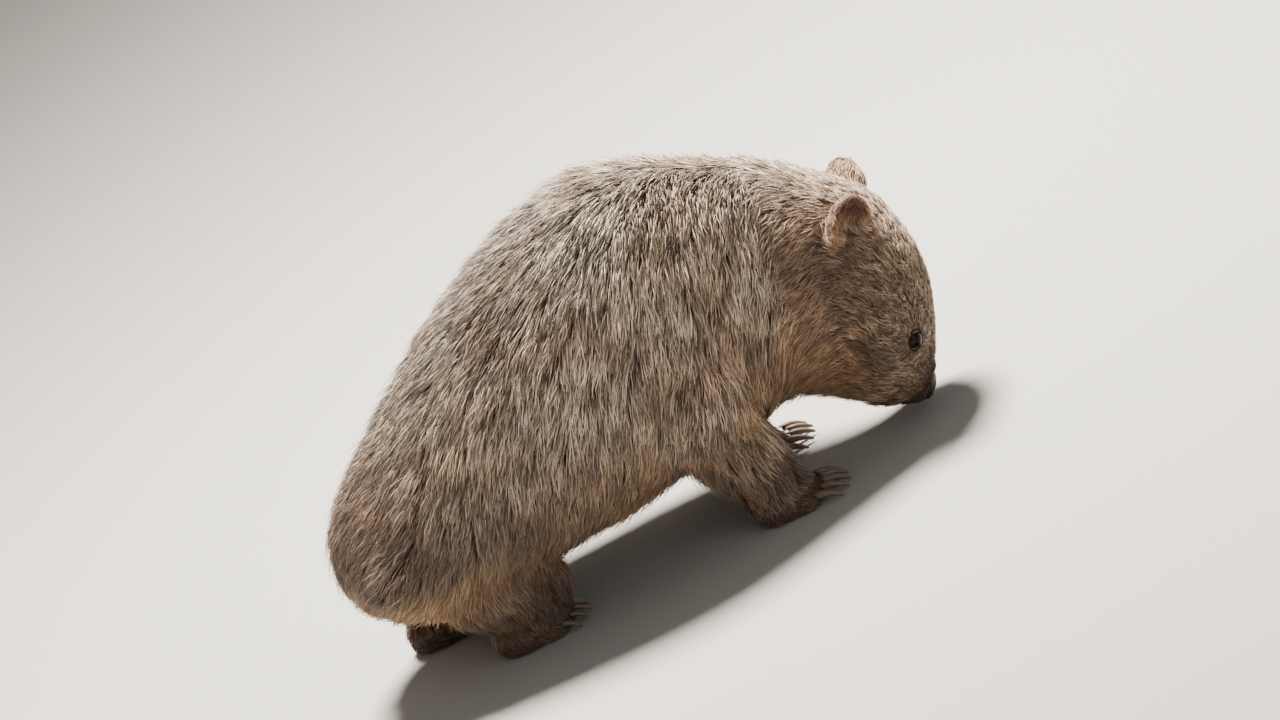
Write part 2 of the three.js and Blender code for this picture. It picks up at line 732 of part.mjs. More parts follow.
const headOutside = wallSolid(HEAD_STARTS - 1, LAST_STATION, NODE_GAP);
for (const [sideName, side] of [["left", LEFT], ["right", RIGHT]]) {
  place("ear_" + sideName, makeEar(side, 0).subtract(makeEarCup(side)).subtract(headOutside), EAR_SKIN);
  place("eye_" + sideName, makeEye(side, 0), EYE_GLOSS);
}

const body = {
  core: wallSolid(0, NECK_STARTS - gapInStations),
  grownCore: wallSolid(0, HEAD_STARTS, NODE_GAP),
  grownLocks: coat("torso", NODE_GAP).add(coat("neck", NODE_GAP)).add(coat("head", NODE_GAP)),
};
for (const limb of LIMBS) {
  place(limb.name, makeLeg(limb, body), LEG_COAT);
  place(limb.foot, makeFoot(limb), LEG_COAT);
  const clawed = toePlaces(limb).slice(-limb.shape.foot.toes);
  clawed.forEach((toe, i) => {
    const claw = makeClaw(limb, toe).subtract(makeToe(limb, toe, NODE_GAP));
    place(limb.foot + "_claw_" + (i + 1), claw, CLAW_HORN);
  });
}

// The origin is under the middle of the whole animal, on the floor.
const extent = new THREE.Box3().setFromObject(wombat);
const centre = extent.getCenter(new THREE.Vector3());
wombat.position.set(-centre.x, -centre.y, -extent.min.z);

export default wombat;
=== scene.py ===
"""A life-size still model of a common wombat: skin, coat, eyes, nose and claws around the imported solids."""
import math
from collections import namedtuple

import bmesh
import bpy
import numpy as np
from bpy.props import FloatProperty, FloatVectorProperty, IntProperty, PointerProperty
from mathutils import Matrix, Vector
from mathutils.bvhtree import BVHTree
from mathutils.kdtree import KDTree


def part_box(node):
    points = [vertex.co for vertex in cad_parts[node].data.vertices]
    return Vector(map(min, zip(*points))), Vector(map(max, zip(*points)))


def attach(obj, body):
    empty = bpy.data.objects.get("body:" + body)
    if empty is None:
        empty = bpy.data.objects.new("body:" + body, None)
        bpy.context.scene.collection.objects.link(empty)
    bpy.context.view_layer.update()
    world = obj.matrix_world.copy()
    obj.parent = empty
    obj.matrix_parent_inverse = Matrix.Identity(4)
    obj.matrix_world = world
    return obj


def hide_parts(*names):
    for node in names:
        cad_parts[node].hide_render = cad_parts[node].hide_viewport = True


bl_info = {
    "name": "Common Wombat",
    "version": (1, 0, 0),
    "blender": (4, 5, 0),
    "location": "3D View > Sidebar > Wombat",
    "description": "Builds the skin, coat, eyes, nose, claws and stage of a standing wombat",
    "category": "Add Mesh",
}

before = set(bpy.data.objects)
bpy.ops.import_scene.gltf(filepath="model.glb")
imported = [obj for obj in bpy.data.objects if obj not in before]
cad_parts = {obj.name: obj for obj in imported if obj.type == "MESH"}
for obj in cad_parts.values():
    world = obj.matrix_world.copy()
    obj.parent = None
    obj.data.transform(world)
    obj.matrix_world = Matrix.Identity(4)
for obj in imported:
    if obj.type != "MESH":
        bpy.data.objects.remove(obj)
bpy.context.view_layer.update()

MM = 0.001
HINDFOOT_HEEL = 24.64  # mm from the drawing's zero to the back of the right hind foot
FORWARD_SHIFT = HINDFOOT_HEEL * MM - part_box("hindfoot_right")[0].x

# The body wall's cross-sections from rump to nose, in millimetres:
# back line x and z, belly line x and z, half width, and how much wider the section is at its top.
STATIONS = (
    (-78, 128, -78, 128, 0, 0),
    (-75, 150, -76, 106, 30, 0),
    (-62, 172, -66, 84, 60, -0.02),
    (-33, 200, -40, 66, 92, -0.05),
    (5, 226, 5, 57, 118, -0.08),
    (50, 256, 50, 53, 134, -0.08),
    (100, 288, 100, 51, 143, -0.08),
    (155, 317, 150, 52, 148, -0.08),
    (215, 341, 205, 54, 150, -0.08),
    (270, 355, 255, 60, 146, -0.06),
    (320, 353, 302, 66, 136, -0.04),
    (365, 337, 338, 66, 121, -0.02),
    (405, 313, 362, 72, 105, 0),
    (440, 294, 383, 71, 91, 0.02),
    (474, 267, 400, 60, 79, 0.03),
    (507, 234, 414, 47, 71, 0.04),
    (531, 202, 426, 36, 72, 0.05),
    (540, 165, 436, 26, 69, 0.05),
    (539, 124, 444, 19, 59, 0.05),
    (528, 86, 451, 18, 51, 0.03),
    (513, 54, 459, 14, 43, 0),
    (499, 33, 467, 11, 32, 0),
    (486, 15, 486, 15, 0, 0),
)
LAST_STATION = len(STATIONS) - 1
SECTION_ROUNDNESS = 0.94
# Haunch, shoulder and cheek: the middle of each swelling on the left, how wide and how high it is
SWELLINGS = (((25, 112, 125), 78, 9), ((305, 108, 150), 70, 8), ((462, 66, 92), 34, 6))

# Height of the coat over the skin and length of its tufts, in millimetres, by station on the body and
# by height over the floor on the legs
COAT_HEIGHT = (
    (0, 11), (3, 12), (11, 12), (13, 10), (14.5, 8.5), (16, 7), (17.5, 5.5), (19, 4), (20.5, 3), (22, 2)
)  # fmt: skip
TUFT_LENGTH = (
    (0, 27), (3, 31), (11, 29), (13, 25), (14.5, 20), (16, 15), (17.5, 11), (19, 8), (20.5, 5), (22, 4)
)  # fmt: skip
LEG_COAT_HEIGHT = ((20, 4), (40, 6), (70, 9), (110, 11))
LEG_TUFT_LENGTH = ((20, 14), (40, 17), (70, 22), (110, 28))
FOOT_COAT = (2.4, 7.5)
EAR_COAT = (1.7, 7.0)

# Stations where each region of the coat starts, and where it is full
REGIONS = {
    "back": (3, 7.5),
    "haunch": (4.6, 6.4),
    "loin": (5, 9),
    "throat": (12.3, 13.6),
    "head": (12.8, 14.6),
    "jaw": (13.2, 14.5),
    "cheek": (15.4, 16.8),
    "chin": (16.3, 18.3),
    "mouth": (17.5, 19),
    "muzzle": (19.0, 20.9),
    "nose": (19.4, 20.6),
}
# Stations where the coat's pieces end, how far down the skin faces on the belly piece, and the lowest
# roots of the guard hairs on the legs and of the tufts on the feet
RUMP_ENDS = 5.2
FLANK_ENDS = 9.3
BODY_ENDS = 14
GUARD_ENDS = 15
UNDERSIDE = -0.55
GUARD_LOWEST = 50 * MM
FOOT_COAT_LOWEST = 4 * MM

LEFT = 1
RIGHT = -1
# A limb's middle line from hip to floor: share of the way from foot to hip, forward, outward and height
HIND_PATH = ((1, -4, 2, 118), (0.75, 14, 5, 84), (0.3, 14, 0, 56), (0, 5, 2, 30), (0, 0, 2, 6))
HIND_RADII = ((44, 32), (60, 38), (53, 36), (42, 31), (33, 28))
FORE_PATH = ((1, -2, 0, 140), (0.7, -6, -2, 100), (0.3, -4, 0, 64), (0, -4, 0, 34), (0, -4, 0, 6))
FORE_RADII = ((34, 28), (43, 34), (38, 33), (33, 30), (29, 28))
Limb = namedtuple("Limb", "leg foot path radii hip offset inward side x toes")
LIMBS = (
    Limb("hindleg_right", "hindfoot_right", HIND_PATH, HIND_RADII, 38, 82, 20, RIGHT, 68, 4),
    Limb("hindleg_left", "hindfoot_left", HIND_PATH, HIND_RADII, 38, 82, 20, LEFT, -30, 4),
    Limb("foreleg_right", "forefoot_right", FORE_PATH, FORE_RADII, 304, 90, 12, RIGHT, 330, 5),
    Limb("foreleg_left", "forefoot_left", FORE_PATH, FORE_RADII, 304, 90, 12, LEFT, 300, 5),
)
# How deep the skin lies in a limb's outline at hip and floor, and the height where the foot takes over
LIMB_DEPTH = (9, 4)
FOOT_TOP = 26
# Middle of a haunch from its hip, and its radii, for the hind and fore pair
HIND_HAUNCH = ((-8, 6, 120), (76, 52, 56))
FORE_HAUNCH = ((-2, 4, 145), (60, 52, 68))
HAUNCH_DEPTH = 12
# Height of the ankles, and how far outward and how high the fold between limb and body lies
ANKLE = 34
FOLD = (14, 82)

# The left ear's root, the way it stands and the way its cup opens
EAR_BASE = (494, 48, 190)
EAR_ALONG = (0.5, 0.15, 0.85)
EAR_OPENING = (0.55, 0.8, -0.05)
# The mouth's ends in side view, x and z
MOUTH_FRONT = (478, 8)
MOUTH_CORNER = (451, 31)
NOSE_MIDDLE = (486, 0, 20)
MUZZLE_TIP = (490, 0, 20)
NOSE_SUNK = (-1.6, 0, 0.8)
MUZZLE_LOW = (432, -90, -10)
MUZZLE_HIGH = (560, 90, 118)
WHISKER_STATIONS = (19.2, 21)
WHISKER_SIDEWAYS = 0.55
WHISKER_SPACING = 7 * MM
WHISKER_WIDTH = 0.45 * MM
CHEEK_SPOT = (466, 60, 82)
# Middle of the painted shadow below the left ear
SHADOW_BELOW_EAR = (476, 74, 178)
# The left eye: its place on the body wall, its depth, the slope of its opening, and length over width
EYE_STATION = 18.15
EYE_ANGLE = 1.34
EYE_SINK = 5.6
EYE_SLANT = (0.5, 0, 0.86)
EYE_LENGTHENED = 1.35
EYE_CLEAR = 7.9
BROW_OFFSET = (-2, -4, 20)

# Shape of a tuft along its length: its rise to the coat's height, and its width
TUFT_RISE = ((0, -0.12), (0.3, 0.5), (0.65, 0.86), (1, 1.0))
TUFT_TAPER = ((0, 0.75), (0.35, 1.0), (0.7, 0.62), (1, 0.0))
ROOT_DEPTH = 1.2 * MM
# How much single tufts vary in length, height and width, and the clump's share of a tuft's own shade
LENGTHS = (0.72, 1.2)
HEIGHTS = (0.6, 1.12)
WIDTHS = (0.7, 1.25)
CLUMP_TONE = 0.3
# Side of a tuft's patch on the unwrapped skin
UV_PATCH = 0.003

WALL, LIMB, FOOT, EAR = range(4)
FLOOR_CLEARANCE = 0.3 * MM
SOLE_HEIGHT = 1.5 * MM
SKIN_LOWEST = 1.2 * MM

# The photo's line of sight and its upright, turned with the animal from its slope onto the level floor
VIEW_AHEAD = (-0.17101, 0.93969, -0.29620)
VIEW_UP = (0.46985, 0.34202, 0.81380)
VIEW_TARGET = (269, 0, 170)
LIT_MIDDLE = (0.04, 0, 0.17)
LAMPS = (
    ("key", (0.2, 0.9, 2.6), 0.9, (1.0, 0.96, 0.9)),
    ("fill", (1.6, -2.6, 1.2), 2.2, (1.0, 0.97, 0.93)),
)
SKY_TINT = (0.98, 0.98, 1.0, 1)

# What the skin leaves for the coat: its fields, triangles and search tree, with the clumps and the material
work = {}


def linear(hex_code):
    """The linear colour of an sRGB hex value."""
    parts = [int(hex_code[i : i + 2], 16) / 255 for i in (0, 2, 4)]
    return [c / 12.92 if c <= 0.04045 else ((c + 0.055) / 1.055) ** 2.4 for c in parts]


def colour(name, hex_code, description):
    return FloatVectorProperty(
        name=name, subtype="COLOR", size=3, min=0, max=1, default=linear(hex_code), description=description
    )


def length(name, millimetres, description):
    return FloatProperty(name=name, default=millimetres * MM, min=0, unit="LENGTH", description=description)


class WombatSizes(bpy.types.PropertyGroup):
    """Sizes that a user would change"""

    skin_grain: length("Skin grain", 3.1, "Side of the skin's small faces")
    body_spacing: length("Body spacing", 2.35, "Distance between tufts on the body")
    guard_spacing: length("Guard hair spacing", 5.4, "Distance between the longer hairs on body and legs")
    leg_spacing: length("Leg spacing", 2.25, "Distance between tufts on the legs")
    head_spacing: length("Head spacing", 1.46, "Distance between tufts on the head")
    foot_spacing: length("Foot spacing", 1.9, "Distance between tufts on the feet")
    ear_spacing: length("Ear spacing", 1.3, "Distance between tufts on the ears")
    body_width: length("Body tuft width", 1.35, "Width of a tuft on the body")
    guard_width: length("Guard hair width", 0.95, "Width of a longer hair")
    head_width: length("Head tuft width", 0.94, "Width of a tuft on the head")
    foot_width: length("Foot tuft width", 1.0, "Width of a tuft on the feet")
    body_clump: length("Body clump", 17, "Distance between the middles of neighbouring clumps on the body")
    head_clump: length("Head clump", 9, "Distance between the middles of neighbouring clumps on the head")
    eye_radius: length("Eye radius", 9.0, "Radius of the eyeball")
    seed: IntProperty(name="Seed", default=11, description="Start of the coat's random numbers")


class WombatColours(bpy.types.PropertyGroup):
    """Colours that a user would change"""

    under: colour("Underfur", "3d2e22", "Dense fur at the roots")
    brown: colour("Brown", "7d6450", "Middle of the body's hair")
    # Silver tips, partly painted light that makes the upward-facing coat lightest
    silver: colour("Silver tips", "f2e6d2", "Tips on the back and flanks")
    buff: colour("Buff tips", "c3a284", "Tips on the rump, belly and head")
    # Golden, partly a painted glow of light from behind low on the rump
    golden: colour("Golden", "aa8456", "Lower rump, belly and throat")
    # Dark, also painted shade on the lower rump and legs, under the chin and below the ears
    dark: colour("Dark", "402b1e", "Muzzle, feet and rims of the eyes")
    ear_bare: colour("Inside of the ear", "5a3c2e", "Bare skin in the cup of the ear")
    nose: colour("Nose", "1c1412", "Bare skin of the nose")
    claw: colour("Claw", "4a3d32", "Horn of the claws")
    floor: colour("Floor", "9a968f", "Studio floor")


class WombatStage(bpy.types.PropertyGroup):
    """Camera and light"""

    distance: FloatProperty(
        name="Camera distance", default=4.5, unit="LENGTH", description="From lens to animal"
    )
    lens: FloatProperty(name="Lens", default=139.2, subtype="DISTANCE_CAMERA", description="Focal length")
    key: FloatProperty(name="Key light", default=780, unit="POWER", description="Large soft light above")
    fill: FloatProperty(
        name="Fill light", default=24, unit="POWER", description="Soft light from the camera's side"
    )
    sky: FloatProperty(name="Sky", default=0.4, description="Strength of the pale surroundings")


# Shape of the body


def curve_point(points, station):
    """A point of the smooth curve through points, where whole stations fall on them."""
    last = len(points) - 1
    index = min(int(station), last - 1)
    share = station - index
    p1, p2 = points[index], points[index + 1]
    p0 = points[index - 1] if index > 0 else 2 * p1 - p2
    p3 = points[index + 2] if index + 2 <= last else 2 * p2 - p1
    spans = [math.sqrt(np.linalg.norm(b - a)) for a, b in ((p0, p1), (p1, p2), (p2, p3))]
    middle = spans[1] if spans[1] > 1e-4 else 1.0
    before = spans[0] if spans[0] > 1e-4 else middle
    after = spans[2] if spans[2] > 1e-4 else middle
    lead = ((p1 - p0) / before - (p2 - p0) / (before + middle) + (p2 - p1) / middle) * middle
    trail = ((p2 - p1) / middle - (p3 - p1) / (middle + after) + (p3 - p2) / after) * middle
    square = -3 * p1 + 3 * p2 - 2 * lead - trail
    cube = 2 * p1 - 2 * p2 + lead + trail
    return p1 + lead * share + square * share**2 + cube * share**3


BACK_LINE = [np.array((s[0], 0.0, s[1])) for s in STATIONS]
BELLY_LINE = [np.array((s[2], 0.0, s[3])) for s in STATIONS]
GIRTH = [np.array((s[4], s[5] * 100.0, 0.0)) for s in STATIONS]


def rounded(value):
    return np.sign(value) * np.abs(value) ** SECTION_ROUNDNESS


def unit(vectors):
    return vectors / np.maximum(np.linalg.norm(vectors, axis=1), 1e-9)[:, None]


def ramp(value, low, high):
    """Smoothly 0 to 1 as value goes from low to high."""
    t = np.clip((np.asarray(value, float) - low) / (high - low), 0, 1)
    return t * t * (3 - 2 * t)


def below(value, low, high):
    """Smoothly 1 to 0 as value goes from low to high."""
    return ramp(-value, -high, -low)


def ridge(distance, at, width, power=2):
    """1 where distance is at, and near 0 more than a width away from there."""
    return np.exp(-(((distance - at) / width) ** power))


def from_table(table, value):
    return np.interp(value, [row[0] for row in table], [row[1] for row in table])


def wall(station, angles):
    """Points of the coat's outline at a station, in the drawing's millimetres. Angle 0 is on the back."""
    top = curve_point(BACK_LINE, station)
    bottom = curve_point(BELLY_LINE, station)
    half, lean, _ = curve_point(GIRTH, station)
    rise = (top - bottom) / 2
    up = np.cos(angles)
    across = np.sin(angles)
    points = (top + bottom) / 2 + rise * rounded(up)[:, None]
    points[:, 1] = half * rounded(across) * (1 + lean / 100 * up)
    outward = rise / max(np.linalg.norm(rise), 1e-9) * (up * 0.5)[:, None]
    outward[:, 1] += across
    outward /= np.linalg.norm(outward, axis=1)[:, None]
    for (x, y, z), width, lift in SWELLINGS:
        middle = np.stack([np.full(len(angles), x), np.sign(points[:, 1]) * y, np.full(len(angles), z)], 1)
        away = np.linalg.norm(points - middle, axis=1)
        points += outward * (lift * ridge(away, 0, width) * np.abs(across))[:, None]
    return points


def wall_normals(station, angles):
    step = 0.02
    low, high = max(station - step, 0.02), min(station + step, LAST_STATION - 0.02)
    along = wall(high, angles) - wall(low, angles)
    around = wall(station, angles + step) - wall(station, angles - step)
    normals = np.cross(along, around)
    return normals / np.linalg.norm(normals, axis=1)[:, None]


def inset_wall(station, angles, depth):
    return wall(station, angles) - wall_normals(station, angles) * depth


def placed(points):
    """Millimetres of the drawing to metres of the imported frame."""
    moved = np.asarray(points, float) * MM
    moved[..., 0] -= FORWARD_SHIFT
    return moved


def skin_ring(station, sides, turn=1):
    """A ring of the skin round the body wall, inside the outline by the coat's depth."""
    angles = turn * np.linspace(0, 2 * math.pi, sides, endpoint=False)
    return inset_wall(station, angles, from_table(COAT_HEIGHT, station))


def limb_rings(limb, count, sides):
    """Rings square to a limb's middle line, inside the outline by the coat's depth."""
    points = []
    for share, fore, outward, level in limb.path:
        across = limb.side * (limb.offset - limb.inward * (1 - share) + outward)
        points.append(np.array((limb.x + (limb.hip - limb.x) * share + fore, across, level), float))
    widths = [np.array((r[0], r[1], 0.0)) for r in limb.radii]
    last = len(points) - 1
    angles = np.linspace(0, 2 * math.pi, sides, endpoint=False)
    rings = []
    for k in range(count):
        at = last * k / (count - 1)
        middle = curve_point(points, at)
        tangent = curve_point(points, min(at + 0.05, last)) - curve_point(points, max(at - 0.05, 0))
        tangent /= np.linalg.norm(tangent)
        fore = np.cross((0, 1, 0), tangent)
        fore /= np.linalg.norm(fore)
        across = np.cross(tangent, fore)
        depth = LIMB_DEPTH[0] + (LIMB_DEPTH[1] - LIMB_DEPTH[0]) * k / (count - 1)
        wide = curve_point(widths, at)[:2] - depth
        ring = middle + np.outer(np.cos(angles) * wide[0], fore) + np.outer(np.sin(angles) * wide[1], across)
        rings.append(ring)
    return rings


def add_haunch(bm, limb):
    """The muscle over a hip or shoulder."""
    (fore, outward, level), radii = HIND_HAUNCH if limb.leg.startswith("hind") else FORE_HAUNCH
    middle = placed((limb.hip + fore, limb.side * (limb.offset + outward), level))
    verts = bmesh.ops.create_uvsphere(bm, u_segments=36, v_segments=24, radius=MM)["verts"]
    bmesh.ops.scale(bm, vec=[radius - HAUNCH_DEPTH for radius in radii], verts=verts)
    bmesh.ops.translate(bm, vec=Vector(middle), verts=verts)


def bridge_rings(bm, rings):
    """Closes a tube over rings of points, joining each to the next."""
    loops = []
    for ring in rings:
        verts = [bm.verts.new(p) for p in placed(ring)]
        edges = [bm.edges.new((a, b)) for a, b in zip(verts, verts[1:] + verts[:1])]
        loops.append((verts, edges))
    for (_, near), (_, far) in zip(loops, loops[1:]):
        bmesh.ops.bridge_loops(bm, edges=near + far)
    bm.faces.new(loops[0][0])
    bm.faces.new(loops[-1][0])


def merged_copy(bm, node, shrink, flat_floor=False):
    """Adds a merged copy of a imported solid, drawn in along its normals."""
    part = bmesh.new()
    part.from_mesh(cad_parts[node].data)
    bmesh.ops.remove_doubles(part, verts=part.verts, dist=1e-5)
    part.normal_update()
    for vert in part.verts:
        on_floor = flat_floor and vert.co.z < MM
        vert.co -= vert.normal * shrink
        if on_floor:
            vert.co.z = SOLE_HEIGHT
    mesh = bpy.data.meshes.new("part")
    part.to_mesh(mesh)
    part.free()
    bm.from_mesh(mesh)
    bpy.data.meshes.remove(mesh)


def shade_smooth(mesh):
    mesh.polygons.foreach_set("use_smooth", np.ones(len(mesh.polygons), bool))


def new_piece(name, bm, material):
    """A finished mesh object from a bmesh."""
    mesh = bpy.data.meshes.new(name)
    bm.to_mesh(mesh)
    bm.free()
    return piece_of(name, mesh, material)


def piece_of(name, mesh, material):
    """An object that rides on the model and takes the given material."""
    obj = bpy.data.objects.new(name, mesh)
    bpy.context.scene.collection.objects.link(obj)
    mesh.materials.append(material)
    shade_smooth(mesh)
    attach(obj, "root")
    return obj


def apply_modifiers(obj):
    graph = bpy.context.evaluated_depsgraph_get()
    mesh = bpy.data.meshes.new_from_object(obj.evaluated_get(graph))
    shade_smooth(mesh)
    old = obj.data
    obj.modifiers.clear()
    obj.data = mesh
    bpy.data.meshes.remove(old)


def remesh(obj, grain):
    """Adds a modifier that gives a piece even small faces over all its parts together."""
    modifier = obj.modifiers.new("Even grain", "REMESH")
    modifier.mode = "VOXEL"
    modifier.voxel_size = grain


def keep_largest(bm):
    """Drops every loose part but the largest, so that nothing is left inside the skin."""
    seen = set()
    largest = []
    for start in bm.verts:
        if start in seen:
            continue
        group = [start]
        seen.add(start)
        for vert in group:
            for edge in vert.link_edges:
                other = edge.other_vert(vert)
                if other not in seen:
                    seen.add(other)
                    group.append(other)
        if len(group) > len(largest):
            largest = group
    kept = set(largest)
    bmesh.ops.delete(bm, geom=[v for v in bm.verts if v not in kept], context="VERTS")


# Fields over the skin


def read(items, name, width, kind=float):
    """A property of all of a mesh's items as an array with a row for each."""
    values = np.empty(len(items) * width, kind)
    items.foreach_get(name, values)
    return values.reshape(-1, width)


def write_attribute(mesh, name, values):
    layer = mesh.attributes.new(name, "FLOAT", "POINT")
    layer.data.foreach_set("value", np.asarray(values, np.float32))


def spread(values, edges, rounds, share=0.5, keep=None):
    """Evens a value out over neighbouring points of the skin."""
    values = np.asarray(values, float)
    flat = values.reshape(len(values), -1).copy()
    count = np.bincount(edges.ravel(), minlength=len(flat))[:, None]
    weight = np.full((len(flat), 1), share) if keep is None else share * (1 - keep)[:, None]
    for _ in range(rounds):
        total = np.zeros_like(flat)
        for axis in range(flat.shape[1]):
            total[:, axis] = np.bincount(edges[:, 0], flat[edges[:, 1], axis], len(flat))
            total[:, axis] += np.bincount(edges[:, 1], flat[edges[:, 0], axis], len(flat))
        flat += (total / np.maximum(count, 1) - flat) * weight
    return flat.reshape(values.shape)


def search_tree(points):
    tree = KDTree(len(points))
    for i, point in enumerate(points):
        tree.insert(point, i)
    tree.balance()
    return tree


def nearest(tree, points):
    """Index in the tree of what lies nearest to each point."""
    return np.array([tree.find(point)[1] for point in points])


def on_left(points):
    """The points with those of the right side mirrored to the left."""
    return np.stack([points[:, 0], np.abs(points[:, 1]), points[:, 2]], 1)


def distance_to(points, middle):
    return np.linalg.norm(points - placed(middle), axis=1)


def bump_at(points, middle, radius):
    """1 at a place and near 0 beyond a radius, for both sides of the head alike."""
    return ridge(distance_to(on_left(points), middle), 0, radius * MM)


def eye_axes():
    """Middle of the left eye, and its axes: across the opening, along it, and out of the head."""
    angle = np.array([EYE_ANGLE])
    facing = wall_normals(EYE_STATION, angle)[0]
    along = np.array(EYE_SLANT) - facing * (np.array(EYE_SLANT) @ facing)
    along /= np.linalg.norm(along)
    return inset_wall(EYE_STATION, angle, EYE_SINK)[0], np.cross(along, facing), along, facing


def eye_distance(points):
    """Millimetres from the nearer eye's middle, counted shorter along its almond opening."""
    middle, _, along, _ = eye_axes()
    away = (on_left(points) - placed(middle)) / MM
    lengthwise = away @ along
    return np.sqrt((away**2).sum(1) - lengthwise**2 * (1 - 1 / EYE_LENGTHENED**2))


def mouth_distance(points):
    """Millimetres from the line of the mouth in side view."""
    flat = (points[:, ::2] - placed((0, 0, 0))[::2]) / MM
    front = np.array(MOUTH_FRONT, float)
    line = np.array(MOUTH_CORNER, float) - front
    share = np.clip(((flat - front) @ line) / (line @ line), 0, 1)
    return np.linalg.norm(flat - front - share[:, None] * line, axis=1)


def lie_on_wall(station):
    """The way the hair lies, rump to nose."""
    rump = np.array((-0.85, 0, -0.45))
    flank = np.array((-0.5, 0, -0.8))
    nape = np.array((-0.85, 0, -0.1))
    face = np.array((-0.45, 0, 0.9))
    lie = rump + (flank - rump) * ramp(station, 3, 6.5)[:, None]
    lie = lie + (nape - lie) * ramp(station, 12.8, 14.2)[:, None]
    return lie + (face - lie) * ramp(station, 14.2, 16)[:, None]


def forms_near(points):
    """The kind of form nearest to each point, and the station nearest to it."""
    steps = np.arange(0.2, LAST_STATION, 0.2)
    forms = [(WALL, placed(skin_ring(station, 72))) for station in steps]
    stations = np.repeat(steps, [len(ring) for _, ring in forms])
    for limb in LIMBS:
        forms += [(LIMB, placed(ring)[ring[:, 2] > FOOT_TOP]) for ring in limb_rings(limb, 24, 20)]
    for kind, names in ((FOOT, [limb.foot for limb in LIMBS]), (EAR, ["ear_left", "ear_right"])):
        for name in names:
            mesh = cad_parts[name].data
            co, ends = read(mesh.vertices, "co", 3), read(mesh.edges, "vertices", 2, np.int64)
            forms.append((kind, np.concatenate([co, (co[ends[:, 0]] + co[ends[:, 1]]) / 2])))
    samples = np.concatenate([places for _, places in forms])
    kinds = np.repeat([kind for kind, _ in forms], [len(places) for _, places in forms])
    wall_samples = samples[: len(stations)]
    return kinds[nearest(search_tree(samples), points)], stations[nearest(search_tree(wall_samples), points)]


